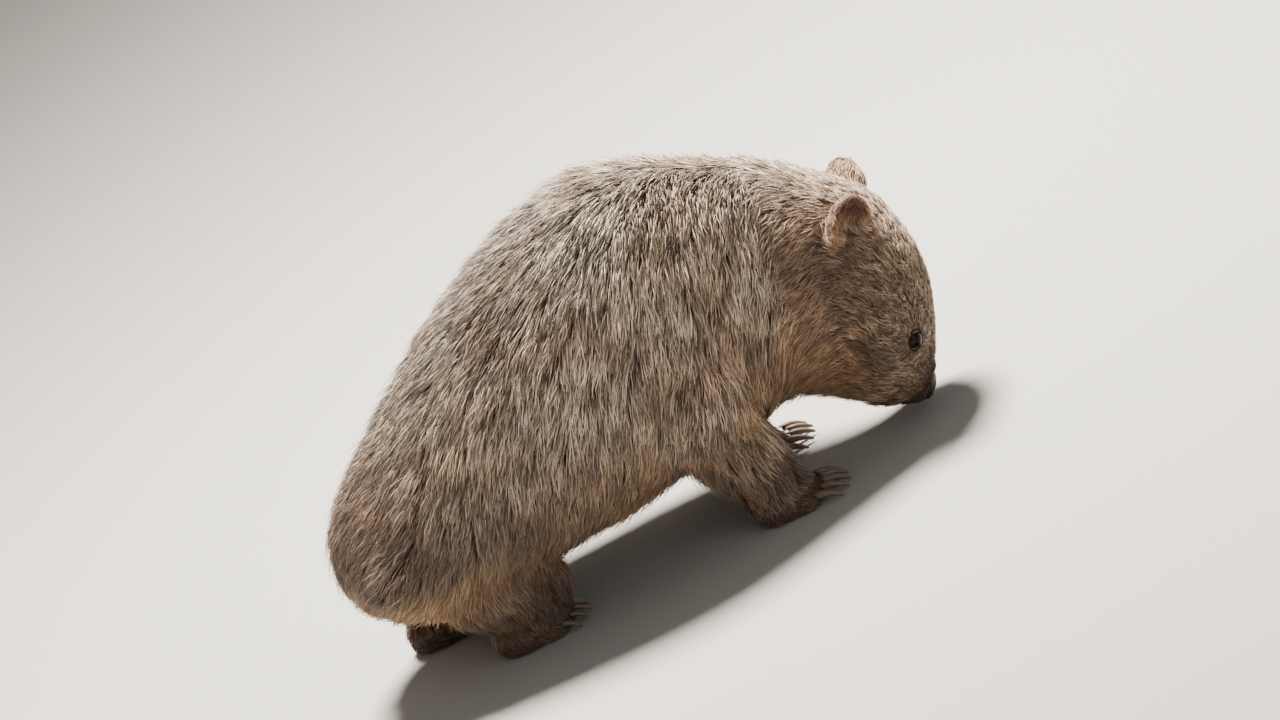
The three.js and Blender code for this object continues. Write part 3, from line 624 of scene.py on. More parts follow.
def skin_fields(points, normals, edges):
    """Kind, station, height of coat, length and lie of tufts, and markings with painted light and shade at
    each point of the skin.
    """
    kind, station = forms_near(points)
    station = spread(station, edges, 6)
    height = points[:, 2] / MM
    softness = ((LIMB, 40), (FOOT, 12), (EAR, 3))
    limb, foot, ear = (spread((kind == code).astype(float), edges, rounds) for code, rounds in softness)
    past = {name: ramp(station, *span) for name, span in REGIONS.items()}
    up, down = normals[:, 2], -normals[:, 2]

    # The ear, measured along itself and round its cup
    mirror = np.stack([np.ones(len(points)), np.sign(points[:, 1]), np.ones(len(points))], 1)
    along_ear = unit(np.array([EAR_ALONG]))[0]
    opening = np.array(EAR_OPENING) - along_ear * (np.array(EAR_OPENING) @ along_ear)
    opening /= np.linalg.norm(opening)
    ear_height = (points * mirror - placed(EAR_BASE)) @ along_ear / MM
    ear_facing = (normals * mirror) @ opening
    cup = ear * ramp(ear_facing, 0.1, 0.6)
    low_cup = cup * (1 - ramp(ear_height, 6, 20))
    ear_rim = ear * (1 - ramp(np.abs(ear_facing), 0.3, 0.8)) * ramp(ear_height, 0, 16)

    # Height and length of the tufts, in millimetres
    coat = from_table(COAT_HEIGHT, station)
    tuft = from_table(TUFT_LENGTH, station)
    leg = from_table(LEG_COAT_HEIGHT, height), from_table(LEG_TUFT_LENGTH, height)
    for share, (high, long) in ((limb, leg), (foot, FOOT_COAT), (ear, EAR_COAT)):
        coat = coat + (high - coat) * share
        tuft = tuft + (long - tuft) * share
    jaw = past["jaw"] * (1 - past["mouth"]) * ramp(down, 0.1, 0.7)
    coat = coat + 2.0 * ear_rim + 3.0 * low_cup + 2.5 * jaw
    tuft = tuft + 5.0 * ear_rim + 9.0 * low_cup + 8.0 * jaw
    eye_away = eye_distance(points)
    near_eye = ridge(eye_away, 0, 12)
    eye_rim = ridge(eye_away, 0, 9, 4)
    eye_ring = np.clip(ridge(eye_away, 0, 24) - 1.3 * near_eye, 0, 1)
    near_nose = bump_at(points, MUZZLE_TIP, 26)
    lips = ridge(mouth_distance(points), 0, 3.2)
    coat = coat * (1 - 0.9 * near_eye) * (1 - 0.35 * near_nose) * (1 - 0.7 * lips)
    tuft = tuft * (1 - 0.6 * near_eye) * (1 - 0.25 * near_nose) * (1 - 0.4 * lips)

    # Lie: back and down on the body, away from the eyes, down the legs, to the toes and up the ears
    eye = eye_axes()[0]
    lie = lie_on_wall(station)
    from_eye = points * mirror - placed(eye)
    lie = lie + unit(from_eye) * mirror * (bump_at(points, eye, 15) * 2.5)[:, None]
    ear_lie = (along_ear + opening * (0.25 + 0.5 * low_cup)[:, None]) * mirror
    for share, way in ((limb, np.array((0.1, 0, -1.0))), (foot, np.array((0.75, 0, -0.5))), (ear, ear_lie)):
        lie = lie + (way - lie) * share[:, None]
    lie = unit(lie - normals * (lie * normals).sum(1)[:, None])
    lie = spread(lie, edges, 10, 0.5, 0.7 * ear)
    lie = unit(lie - normals * (lie * normals).sum(1)[:, None])

    # Markings, with painted light and shade
    # Silver tips: partly the coat's grizzled tips, partly painted light that makes the upward-facing coat
    # lightest; also lighter on the front of the head, round the eyes and on the ear rims
    silver = ramp(up, -0.45, 0.3) * (0.15 + 0.85 * past["back"]) * (1 - past["head"]) + 0.6 * eye_ring
    silver += 0.4 * past["head"] * ramp(normals[:, 0], 0.25, 0.8) * (1 - past["nose"]) + 0.7 * ear_rim
    silver *= (1 - limb * 0.6) * (1 - foot) * (1 - ear + ear_rim)
    golden = 0.5 * ramp(down, 0.2, 0.85) * (1 - past["head"])
    # A golden band low on the rump: partly golden fur, partly a painted glow of light from behind
    golden += (1 - past["haunch"]) * below(height, 98, 142) * (1 - 0.85 * limb)
    golden += 0.5 * past["throat"] * (1 - past["cheek"]) * ramp(down, -0.2, 0.5)
    golden += 0.2 * ear_rim + 0.12 * ear
    # The lower rump darker: partly its darker fur, partly painted shade
    rump = (1 - past["loin"]) * (1 - ramp(height, 150, 225))
    rump *= np.maximum(ramp(height, 105, 142), past["haunch"])
    dark = 0.75 * past["muzzle"] + 0.6 * near_nose + 0.95 * eye_rim + 0.6 * lips + 0.6 * rump
    # Painted shade low under the chin, near the floor
    dark += 0.65 * past["chin"] * below(height, 16, 38)
    # A dark spot on each cheek, and a painted shadow below each ear
    dark += bump_at(points, CHEEK_SPOT, 12) * 0.85 + bump_at(points, SHADOW_BELOW_EAR, 18) * 0.75
    # Legs darker towards the floor: partly their darker fur, partly painted shade
    dark += (0.55 - dark) * limb * below(height, 40, 105)
    dark += (0.6 - dark) * foot
    bare = cup * ramp(ear_height, 8, 26) * (1 - 0.8 * ear_rim)
    markings_and_painted_light = {"silver": silver, "golden": golden * (1 - foot), "dark": dark * (1 - ear), "bare": bare}
    shape = {"kind": kind, "station": station, "coat": coat * MM, "tuft": tuft * MM, "lie": lie}
    return shape | {name: np.clip(values, 0, 1) for name, values in markings_and_painted_light.items()}


MARKINGS_AND_PAINTED_LIGHT = ("silver", "golden", "dark", "bare")


# Materials


def add(tree, kind, settings=None, links=None):
    """One node with its settings and inputs, each input a value or another node's output."""
    node = tree.nodes.new(kind)
    for name, value in (settings or {}).items():
        setattr(node, name, value)
    for socket, value in (links or {}).items():
        if isinstance(value, bpy.types.NodeSocket):
            tree.links.new(value, node.inputs[socket])
        else:
            node.inputs[socket].default_value = value
    return node


def new_material(name, finish):
    """An empty material, its node tree and its shader, with the sockets that finish names set."""
    material = bpy.data.materials.new(name)
    material.use_nodes = True
    tree = material.node_tree
    tree.nodes.clear()
    shader = add(tree, "ShaderNodeBsdfPrincipled", links=finish)
    add(tree, "ShaderNodeOutputMaterial", links={"Surface": shader.outputs["BSDF"]})
    return material, tree, shader


def opaque(values):
    return (*values, 1.0)


def scale_for(millimetres):
    """The scale of a pattern whose grains are so far apart."""
    return 1 / (millimetres * MM)


def coat_colour(tree, along, vary):
    """The coat's markings with their painted light and shade, the same for the skin and for each tuft from
    root to tip.
    """
    paints = bpy.context.scene.wombat_colours
    mixed = {"data_type": "RGBA"}
    place = add(tree, "ShaderNodeTexCoord").outputs["Object"]
    silver, golden, dark, bare = (
        add(tree, "ShaderNodeAttribute", {"attribute_name": name}).outputs["Fac"] for name in MARKINGS_AND_PAINTED_LIGHT
    )
    # Frosted clouds about 100 mm across, and lighter and darker patches of about 36 mm
    clouds, patches = (
        add(tree, "ShaderNodeTexNoise", links={"Vector": place, "Scale": scale_for(grain), "Detail": detail})
        for grain, detail in ((100, 2.0), (35.7143, 3.0))
    )
    # Each row: a value, the range it is read in and the range it is turned into
    ranges = (
        (clouds.outputs[0], 0.4, 0.6, 0.3, 1.05),
        (vary, 0.3, 0.85, 0.08, 1.0),
        (along, 0.25, 0.95, 0.0, 1.0),
        (patches.outputs[0], 0.3, 0.7, 0.74, 1.2),
        (vary, 0.1, 0.9, 0.5, 1.5),
    )
    cloud, light, reach, patch, own = (
        add(tree, "ShaderNodeMapRange", links=dict(enumerate(row))).outputs[0] for row in ranges
    )
    frost, tipped, gold, shade = (
        add(tree, "ShaderNodeMath", {"operation": "MULTIPLY"}, {0: one, 1: other}).outputs[0]
        for one, other in ((silver, cloud), (light, reach), (golden, 0.8), (patch, own))
    )
    ends = {0: frost, 6: opaque(paints.buff), 7: opaque(paints.silver)}
    tips = add(tree, "ShaderNodeMix", mixed, ends).outputs[2]
    hair = opaque(paints.under)
    for share, paint in ((along, opaque(paints.brown)), (tipped, tips), (gold, opaque(paints.golden))):
        hair = add(tree, "ShaderNodeMix", mixed, {0: share, 6: hair, 7: paint}).outputs[2]
    hair = add(tree, "ShaderNodeVectorMath", {"operation": "SCALE"}, {0: hair, "Scale": shade}).outputs[0]
    for share, paint in ((dark, opaque(paints.dark)), (bare, opaque(paints.ear_bare))):
        hair = add(tree, "ShaderNodeMix", mixed, {0: share, 6: hair, 7: paint}).outputs[2]
    return hair


def coat_material():
    """Keratin hair, grown and dry. The eye sees matt strands with a faint sheen along them."""
    finish = {"Roughness": 0.72, "Specular IOR Level": 0.35, "Sheen Weight": 0.12}
    material, tree, shader = new_material("dry_keratin_coat", finish)
    along, vary = (
        add(tree, "ShaderNodeAttribute", {"attribute_name": name}).outputs["Fac"]
        for name in ("along", "vary")
    )
    tree.links.new(coat_colour(tree, along, vary), shader.inputs["Base Color"])
    return material


def skin_material():
    """Skin under dense underfur. The eye sees a matt ground with the coat's markings and painted light and
    shade between the tufts.
    """
    material, tree, shader = new_material("furred_skin", {"Roughness": 0.85, "Specular IOR Level": 0.3})
    place = add(tree, "ShaderNodeTexCoord").outputs["Object"]
    # Hairs of the underfur are 0.02 mm thick, so they are drawn 1.6 mm apart to show at all.
    grain = {"Vector": place, "Scale": scale_for(1.6129), "Detail": 2.0}
    vary = add(tree, "ShaderNodeTexNoise", links=grain).outputs[0]
    along = add(tree, "ShaderNodeMapRange", links=dict(enumerate((vary, 0.3, 0.8, 0.2, 0.75)))).outputs[0]
    tree.links.new(coat_colour(tree, along, vary), shader.inputs["Base Color"])
    bump = add(tree, "ShaderNodeBump", links={"Height": vary, "Strength": 0.6, "Distance": 1.2 * MM})
    tree.links.new(bump.outputs[0], shader.inputs["Normal"])
    return material


def grained_material(name, finish, shades, pattern, grain, bump, detail=None, invert=False):
    """A material in two shades that follow a pattern with grains of a size, which also raise its surface."""
    material, tree, shader = new_material(name, finish)
    place = add(tree, "ShaderNodeTexCoord").outputs["Object"]
    scales = [scale_for(side) for side in grain]
    scaled = add(tree, "ShaderNodeMapping", links={"Vector": place, "Scale": scales})
    form = {"Vector": scaled.outputs[0], "Scale": 1.0} | (detail or {})
    share = add(tree, pattern, links=form).outputs[0]
    ends = {6: opaque(shades[0]), 7: opaque(shades[1])}
    tint = add(tree, "ShaderNodeMix", {"data_type": "RGBA"}, {0: share} | ends)
    tree.links.new(tint.outputs[2], shader.inputs["Base Color"])
    raised = add(tree, "ShaderNodeBump", {"invert": invert}, {"Height": share} | bump)
    tree.links.new(raised.outputs[0], shader.inputs["Normal"])
    return material


# Skin


class WOMBAT_OT_skin(bpy.types.Operator):
    """One skin over body, head, legs, feet, ears and tail"""

    bl_idname = "wombat.skin"
    bl_label = "Skin"

    def execute(self, context):
        bm = bmesh.new()
        stations = np.concatenate([[0.3], np.arange(0.6, 21.6, 0.3), [21.75]])
        bridge_rings(bm, [skin_ring(station, 64, turn=-1) for station in stations])
        for limb in LIMBS:
            bridge_rings(bm, limb_rings(limb, 18, 24))
            add_haunch(bm, limb)
            merged_copy(bm, limb.foot, 2.0 * MM, flat_floor=True)
        for node, shrink in (("tail", 6), ("ear_left", 0.3), ("ear_right", 0.3)):
            merged_copy(bm, node, shrink * MM)
        bmesh.ops.recalc_face_normals(bm, faces=bm.faces)
        skin = new_piece("skin", bm, skin_material())
        remesh(skin, context.scene.wombat_sizes.skin_grain)
        apply_modifiers(skin)
        bm = bmesh.new()
        bm.from_mesh(skin.data)
        keep_largest(bm)
        self.refine_muzzle(bm)
        bm.to_mesh(skin.data)
        bm.free()
        self.shape(skin)
        nodes = ["torso", "neck", "head", "tail", "ear_left", "ear_right"]
        nodes += [name for limb in LIMBS for name in (limb.leg, limb.foot)]
        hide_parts(*nodes)
        return {"FINISHED"}

    @staticmethod
    def refine_muzzle(bm):
        """Smaller faces where the lips, nostrils and lids need them."""
        low, high = Vector(placed(MUZZLE_LOW)), Vector(placed(MUZZLE_HIGH))
        near = [e for e in bm.edges if all(low[i] < v.co[i] < high[i] for v in e.verts for i in range(3))]
        bmesh.ops.subdivide_edges(bm, edges=near, cuts=1, use_grid_fill=True)

    def shape(self, skin):
        """Evens the skin out, gives it folds and sockets, and keeps what the coat needs."""
        mesh = skin.data
        points, edges = read(mesh.vertices, "co", 3), read(mesh.edges, "vertices", 2, np.int64)
        points = self.evened(points, edges)
        normals = self.move(mesh, points)
        eye = eye_axes()[0]
        lid = ridge(eye_distance(points), 0, 12)
        nose_edge = ridge(distance_to(points, NOSE_MIDDLE) / MM, 15, 7)
        brow = bump_at(points, eye + BROW_OFFSET, 15)
        mouth = mouth_distance(points)
        lips = 0.9 * ridge(mouth, 3.6, 1.8) - 2.6 * ridge(mouth, 0, 1.5)
        points += normals * (brow * 1.6 + lid * 5.2 + nose_edge * 3.2 + lips)[:, None] * MM
        normals = self.move(mesh, points)
        fields = skin_fields(points, normals, edges)
        for name in MARKINGS_AND_PAINTED_LIGHT:
            write_attribute(mesh, name, fields[name])
        self.unwrap(skin)
        work["skin"] = dict(fields, points=points, normals=normals)
        self.index_faces(mesh)

    @staticmethod
    def evened(points, edges):
        """The skin's points smoothed: least on ears and feet, most where the legs leave the body."""
        fine = np.zeros(len(points))
        for name in ("ear_left", "ear_right", *(limb.foot for limb in LIMBS)):
            low, high = (np.array(corner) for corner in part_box(name))
            fine[((points > low - 2 * MM) & (points < high + 2 * MM)).all(1)] = 0.75
        fine = spread(fine, edges, 3)
        points = spread(points, edges, 10, 0.5, fine)
        joint = np.zeros(len(points))
        for limb in LIMBS:
            fold = (limb.hip, limb.side * (limb.offset + FOLD[0]), FOLD[1])
            ankle = (limb.x, limb.side * (limb.offset - limb.inward), ANKLE)
            for place, radius, share in ((fold, 62, 1.0), (ankle, 34, 0.6)):
                near = share * ridge(distance_to(points, place), 0, radius * MM, 4)
                joint = np.maximum(joint, near)
        points = spread(points, edges, 44, 0.5, 1 - joint)
        points[:, 2] = np.maximum(points[:, 2], SKIN_LOWEST)
        return points

    @staticmethod
    def move(mesh, points):
        """Moves a mesh's vertices to points, and returns the normals there."""
        mesh.vertices.foreach_set("co", points.ravel())
        mesh.update()
        return read(mesh.vertices, "normal", 3)

    @staticmethod
    def unwrap(skin):
        """Lays the skin's own surface out flat, once, for the skin and every tuft rooted in it."""
        skin.data.uv_layers.new(name="OFBake")
        bpy.context.view_layer.objects.active = skin
        skin.select_set(True)
        bpy.ops.object.mode_set(mode="EDIT")
        bpy.ops.mesh.select_all(action="SELECT")
        bpy.ops.uv.smart_project(angle_limit=1.2, island_margin=0.002)
        bpy.ops.object.mode_set(mode="OBJECT")
        skin.select_set(False)

    @staticmethod
    def index_faces(mesh):
        """Keeps the skin's triangles, their areas, their places on its unwrap and a tree to find them."""
        mesh.calc_loop_triangles()
        corners = read(mesh.loop_triangles, "vertices", 3, np.int64)
        loops = read(mesh.loop_triangles, "loops", 3, np.int64)
        points = work["skin"]["points"]
        a, b, c = (points[corners[:, i]] for i in range(3))
        work["corners"] = corners
        work["corner_uv"] = read(mesh.uv_layers["OFBake"].uv, "vector", 2)[loops]
        work["areas"] = np.linalg.norm(np.cross(b - a, c - a), axis=1) / 2
        work["tree"] = BVHTree.FromPolygons(points.tolist(), corners.tolist())


# Coat


def scatter(mask, spacing, seed):
    """Evenly spread roots where mask is true: the skin's triangle of each, and its corner weights there."""
    random = np.random.default_rng(seed)
    chosen = np.flatnonzero(mask[work["corners"]].mean(1) > 0.5)
    areas = work["areas"][chosen]
    count = int(areas.sum() / spacing**2 * 4)
    picks = chosen[np.searchsorted(np.cumsum(areas) / areas.sum(), random.random(count) * 0.999999)]
    first, second = random.random((2, count))
    over = first + second > 1
    first[over], second[over] = 1 - first[over], 1 - second[over]
    weights = np.stack([1 - first - second, first, second], 1)
    points = (work["skin"]["points"][work["corners"][picks]] * weights[:, :, None]).sum(1)
    cells = np.floor(points / (spacing * 1.07)).astype(np.int64)
    _, kept = np.unique(cells, axis=0, return_index=True)
    return picks[kept], weights[kept]


def at_roots(field, picks, weights):
    """A field of the skin at each root."""
    gathered = work["skin"][field][work["corners"][picks]]
    return (gathered * weights.reshape(weights.shape + (1,) * (gathered.ndim - 2))).sum(1)


def settle(points, heights):
    """Moves points to a height over the nearest skin, so that tufts follow the body."""
    settled = np.empty_like(points)
    find = work["tree"].find_nearest
    for i, point in enumerate(points):
        spot, normal, _, _ = find(Vector(point))
        settled[i] = spot + normal * heights[i]
    return settled


def clumps(size, seed):
    """Middles of the coat's clumps over the whole skin, a tree to find them, and each clump's own look."""
    known = work.setdefault("clumps", {})
    if size not in known:
        picks, weights = scatter(np.ones(len(work["skin"]["points"]), bool), size, seed)
        middles = at_roots("points", picks, weights)
        known[size] = (middles, search_tree(middles), np.random.default_rng(seed).random((3, len(middles))))
    return known[size]


def tuft_faces(steps):
    """Faces of one closed tuft: rings of three points, and a tip."""
    faces = [(0, 1, 2)]
    sides = ((0, 1), (1, 2), (2, 0))
    for near in range(0, steps * 3 - 3, 3):
        faces += [(near + a, near + 3 + a, near + 3 + b, near + b) for a, b in sides]
    end = steps * 3 - 3
    return faces + [(end + a, steps * 3, end + b) for a, b in sides]


def tuft_points(spine, normals, halves):
    """Three points round each step of the tufts' middle lines, and their tips."""
    rings = []
    for k, half in enumerate(halves):
        ahead = unit(spine[k + 1] - spine[max(k - 1, 0)])
        side = unit(np.cross(ahead, normals))
        over = np.cross(side, ahead)
        half = half[:, None]
        rings.extend([spine[k] - side * half, spine[k] + over * half * 0.8, spine[k] + side * half])
    points = np.stack(rings + [spine[-1]], 1)
    points[:, :, 2] = np.maximum(points[:, :, 2], FLOOR_CLEARANCE)
    return points


def tuft_mesh(name, points, steps):
    """A mesh of closed tufts with a row of points for each, and the point of each of its corners."""
    count, per, _ = points.shape
    faces = tuft_faces(steps)
    order = np.array([v for face in faces for v in face])
    loops = (np.arange(count)[:, None] * per + order[None, :]).ravel()
    totals = np.tile([len(face) for face in faces], count)
    mesh = bpy.data.meshes.new(name)
    mesh.vertices.add(count * per)
    mesh.vertices.foreach_set("co", points.reshape(-1))
    mesh.loops.add(len(loops))
    mesh.loops.foreach_set("vertex_index", loops.astype(np.int32))
    mesh.polygons.add(len(totals))
    mesh.polygons.foreach_set("loop_start", (np.cumsum(totals) - totals).astype(np.int32))
    mesh.update(calc_edges=True)
    return mesh, loops


def grow_coat(
    name, mask, slot, seed, spacing, width, clump, steps=2, lift=1.0, stretch=1.0, stray=0.1, pull=0.4
):
    """One piece of the coat: tapered tufts that rise from the skin, bend over and gather into clumps."""
    first_seed = bpy.context.scene.wombat_sizes.seed
    random = np.random.default_rng(first_seed + seed)
    picks, weights = scatter(mask, spacing, first_seed + seed)
    count = len(picks)
    roots = at_roots("points", picks, weights)
    normals = unit(at_roots("normals", picks, weights))
    middles, tree, (tone, tilt, fullness) = clumps(clump, first_seed)
    group = nearest(tree, roots)
    lie = at_roots("lie", picks, weights)
    long = at_roots("tuft", picks, weights) * stretch * random.uniform(*LENGTHS, count)
    high = at_roots("coat", picks, weights) * lift * random.uniform(*HEIGHTS, count)
    high *= 0.72 + 0.4 * fullness[group]
    turn = random.normal(0, stray, count) + (tilt[group] - 0.5) * 2.6 * stray
    lie = unit(lie + np.cross(normals, lie) * turn[:, None])
    gather = (middles[group] - roots) * pull
    gather -= lie * (gather * lie).sum(1)[:, None]

    shares = np.linspace(0, 1, steps + 1) ** 1.1
    spine = [roots - normals * (ROOT_DEPTH + high * 0.02)[:, None]]
    for t, up in zip(shares[1:], from_table(TUFT_RISE, shares[1:])):
        reach = roots + lie * (long * t)[:, None] + gather * t**1.3
        spine.append(settle(reach, high * up))
    wide = from_table(TUFT_TAPER, shares[:-1]) * width
    size = random.uniform(*WIDTHS, count)
    points = tuft_points(spine, normals, [step / 2 * size for step in wide])
    mesh, loops = tuft_mesh(name, points, steps)

    per = points.shape[1]
    along = np.append(np.repeat(shares[:-1], 3), 1.0)
    vary = (1 - CLUMP_TONE) * random.random(count) + CLUMP_TONE * tone[group]
    write_attribute(mesh, "along", np.tile(along, count))
    write_attribute(mesh, "vary", np.repeat(vary, per))
    for colour_field in MARKINGS_AND_PAINTED_LIGHT:
        write_attribute(mesh, colour_field, np.repeat(at_roots(colour_field, picks, weights), per))
    places = (work["corner_uv"][picks] * weights[:, :, None]).sum(1)
    column = np.append(np.tile([-0.5, 0.0, 0.5], steps), 0.0)
    spots = places[:, None, :] + np.stack([column, along - 0.5], 1)[None, :, :] * UV_PATCH
    layer = mesh.uv_layers.new(name="OFBake")
    layer.uv.foreach_set("vector", spots.reshape(-1, 2)[loops].ravel())
    piece_of(name, mesh, work["coat_material"])


def grow_pieces(parts, slot, seed, *sizes, **form):
    """Grows pieces of the coat that differ only in where they stand."""
    for i, (name, mask) in enumerate(parts.items()):
        grow_coat(name, mask, slot, seed + i, *sizes, **form)


class WOMBAT_OT_body_coat(bpy.types.Operator):
    """Long tufts on the rump, back, flanks, belly, shoulders and neck"""

    bl_idname = "wombat.body_coat"
    bl_label = "Body coat"

    def execute(self, context):
        sizes = context.scene.wombat_sizes
        skin = work["skin"]
        work["coat_material"] = coat_material()
        station, kind, left = skin["station"], skin["kind"], skin["points"][:, 1] > 0
        body = (kind == WALL) & (station < BODY_ENDS)
        rump = body & (station < RUMP_ENDS)
        under = body & ~rump & (skin["normals"][:, 2] < UNDERSIDE)
        flank = body & ~rump & ~under & (station < FLANK_ENDS)
        shoulder = body & ~under & (station >= FLANK_ENDS)
        parts = {
            "coat_rump": rump,
            "coat_belly": under,
            "coat_flank_left": flank & left,
            "coat_flank_right": flank & ~left,
            "coat_shoulder_left": shoulder & left,
            "coat_shoulder_right": shoulder & ~left,
        }
        grow_pieces(parts, "body_coat", 0, sizes.body_spacing, sizes.body_width, sizes.body_clump)
        guard = {"steps": 3, "lift": 1.28, "stretch": 1.2, "stray": 0.16, "pull": 0.3}
        long = (station < GUARD_ENDS) & (kind == WALL)
        long |= (kind == LIMB) & (skin["points"][:, 2] > GUARD_LOWEST)
        parts = {"guard_left": long & left, "guard_right": long & ~left}
        spacing, width = sizes.guard_spacing, sizes.guard_width
        grow_pieces(parts, "body_coat", 10, spacing, width, sizes.body_clump, **guard)
        return {"FINISHED"}


class WOMBAT_OT_leg_coat(bpy.types.Operator):
    """Shorter tufts down the legs and over the feet"""

    bl_idname = "wombat.leg_coat"
    bl_label = "Leg and foot coat"

    def execute(self, context):
        sizes = context.scene.wombat_sizes
        skin = work["skin"]
        fore = skin["points"][:, 0] > 0
        legs = skin["kind"] == LIMB
        parts = {"coat_hindlegs": legs & ~fore, "coat_forelegs": legs & fore}
        grow_pieces(parts, "leg_coat", 20, sizes.leg_spacing, sizes.body_width * 0.85, sizes.body_clump)
        feet = (skin["kind"] == FOOT) & (skin["points"][:, 2] > FOOT_COAT_LOWEST)
        grow_coat("coat_feet", feet, "foot_coat", 23, sizes.foot_spacing, sizes.foot_width, sizes.head_clump)
        return {"FINISHED"}


class WOMBAT_OT_head_coat(bpy.types.Operator):
    """Short dense tufts on the head and ears, and the whiskers"""

    bl_idname = "wombat.head_coat"
    bl_label = "Head coat"

    def execute(self, context):
        sizes = context.scene.wombat_sizes
        skin = work["skin"]
        station, points, clump = skin["station"], skin["points"], sizes.head_clump
        nose_low, nose_high = (np.array(corner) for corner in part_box("nose_pad"))
        pad = ((points > nose_low + 2 * MM) & (points < nose_high - MM)).all(1)
        head = (skin["kind"] == WALL) & (station >= BODY_ENDS) & (eye_distance(points) > EYE_CLEAR) & ~pad
        left = points[:, 1] > 0
        face = {"lift": 1.05, "stray": 0.2, "pull": 0.6}
        parts = {"coat_head_left": head & left, "coat_head_right": head & ~left}
        grow_pieces(parts, "head_coat", 30, sizes.head_spacing, sizes.head_width, clump, **face)
        cushion = head & (station > WHISKER_STATIONS[0]) & (station < WHISKER_STATIONS[1])
        cushion &= np.abs(skin["normals"][:, 1]) > WHISKER_SIDEWAYS
        whisker = {"steps": 3, "lift": 5, "stretch": 4, "stray": 0.35}
        grow_coat(
            "whiskers", cushion, "head_coat", 40, WHISKER_SPACING, WHISKER_WIDTH, WHISKER_SPACING, **whisker
        )
        ears = skin["kind"] == EAR
        width = sizes.head_width * 0.75
        grow_coat("coat_ears", ears, "ear_coat", 33, sizes.ear_spacing, width, clump, stray=0.2, pull=0.3)
        return {"FINISHED"}


# Eyes, nose and claws


class WOMBAT_OT_eyes(bpy.types.Operator):
    """Wet dark eyes with dark skin rims"""

    bl_idname = "wombat.eyes"
    bl_label = "Eyes and lids"

    def execute(self, context):
        radius = context.scene.wombat_sizes.eye_radius
        glass = self.wet_eye()
        rim = self.lid_skin()
        for name, side in (("left", LEFT), ("right", RIGHT)):
            place = self.place(side)
            bm = bmesh.new()
            bmesh.ops.create_uvsphere(bm, u_segments=32, v_segments=20, radius=radius)
            for vert in bm.verts:
                bulge = math.exp(-((vert.co.xy.length / (radius * 0.55)) ** 2)) * (vert.co.z > 0)
                vert.co.z += 0.7 * MM * bulge
            polar = [vert.co.xy.length / radius if vert.co.z > 0 else 1.0 for vert in bm.verts]
            bmesh.ops.transform(bm, matrix=place, verts=bm.verts)
            bmesh.ops.recalc_face_normals(bm, faces=bm.faces)
            eye = new_piece("eyeball_" + name, bm, glass)
            write_attribute(eye.data, "polar", polar)
            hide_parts("eye_" + name)
            self.lids(name, place, radius, rim)
        return {"FINISHED"}

    @staticmethod
    def place(side):
        """Where an eye stands: its own z out of the head, its y along the opening."""
        middle, across, along, facing = eye_axes()
        turn = Matrix((across, along, facing)).transposed().to_4x4()
        place = Matrix.Translation(Vector(placed(middle))) @ turn
        return place if side == LEFT else Matrix.Scale(-1, 4, (0, 1, 0)) @ place

    @staticmethod
    def lids(name, place, radius, rim):
        """A soft rim of skin with an almond opening."""
        bm = bmesh.new()
        ring = bmesh.ops.create_circle(bm, segments=10, radius=1.0 * MM)["verts"]
        bmesh.ops.rotate(bm, verts=ring, matrix=Matrix.Rotation(math.pi / 2, 3, "X"))
        bmesh.ops.translate(bm, verts=ring, vec=(radius * 0.87, 0, radius * 0.5))
        geom = [*ring, *bm.edges]
        axis = {"cent": (0, 0, 0), "axis": (0, 0, 1), "angle": 2 * math.pi}
        bmesh.ops.spin(bm, geom=geom, steps=40, use_merge=True, **axis)
        bmesh.ops.remove_doubles(bm, verts=bm.verts, dist=1e-6)
        for vert in bm.verts:
            vert.co.x *= 0.98 - 0.12 * abs(vert.co.y) / radius
            vert.co.y *= 1.28
        bmesh.ops.transform(bm, matrix=place, verts=bm.verts)
        bmesh.ops.recalc_face_normals(bm, faces=bm.faces)
        new_piece("lids_" + name, bm, rim)

    @staticmethod
    def wet_eye():
        """A living eye's wet cornea. One sees a black pupil in a dark brown iris, with small highlights."""
        finish = {"Roughness": 0.07, "IOR": 1.336, "Specular IOR Level": 0.16}
        material, tree, shader = new_material("wet_cornea", finish)
        polar = add(tree, "ShaderNodeAttribute", {"attribute_name": "polar"}).outputs["Fac"]
        iris = add(tree, "ShaderNodeValToRGB", links={0: polar})
        stops = iris.color_ramp.elements
        stops.new(0.8)
        for i, (at, hex_code) in enumerate(((0.45, "060302"), (0.56, "24130c"), (0.8, "120906"))):
            stops[i].position = at
            stops[i].color = opaque(linear(hex_code))
        tree.links.new(iris.outputs[0], shader.inputs["Base Color"])
        return material

    @staticmethod
    def lid_skin():
        """Bare skin of the lids. The eye sees it matt and nearly black, with creases 1.1 mm apart."""
        finish = {"Roughness": 0.75, "Specular IOR Level": 0.15}
        shades = (linear("130d0a"), linear("241811"))
        grain = (1.1111, 1.1111, 1.1111)
        bump = {"Strength": 0.4, "Distance": 0.5 * MM}
        detail = {"Detail": 2.0}
        return grained_material("lid_skin", finish, shades, "ShaderNodeTexNoise", grain, bump, detail)


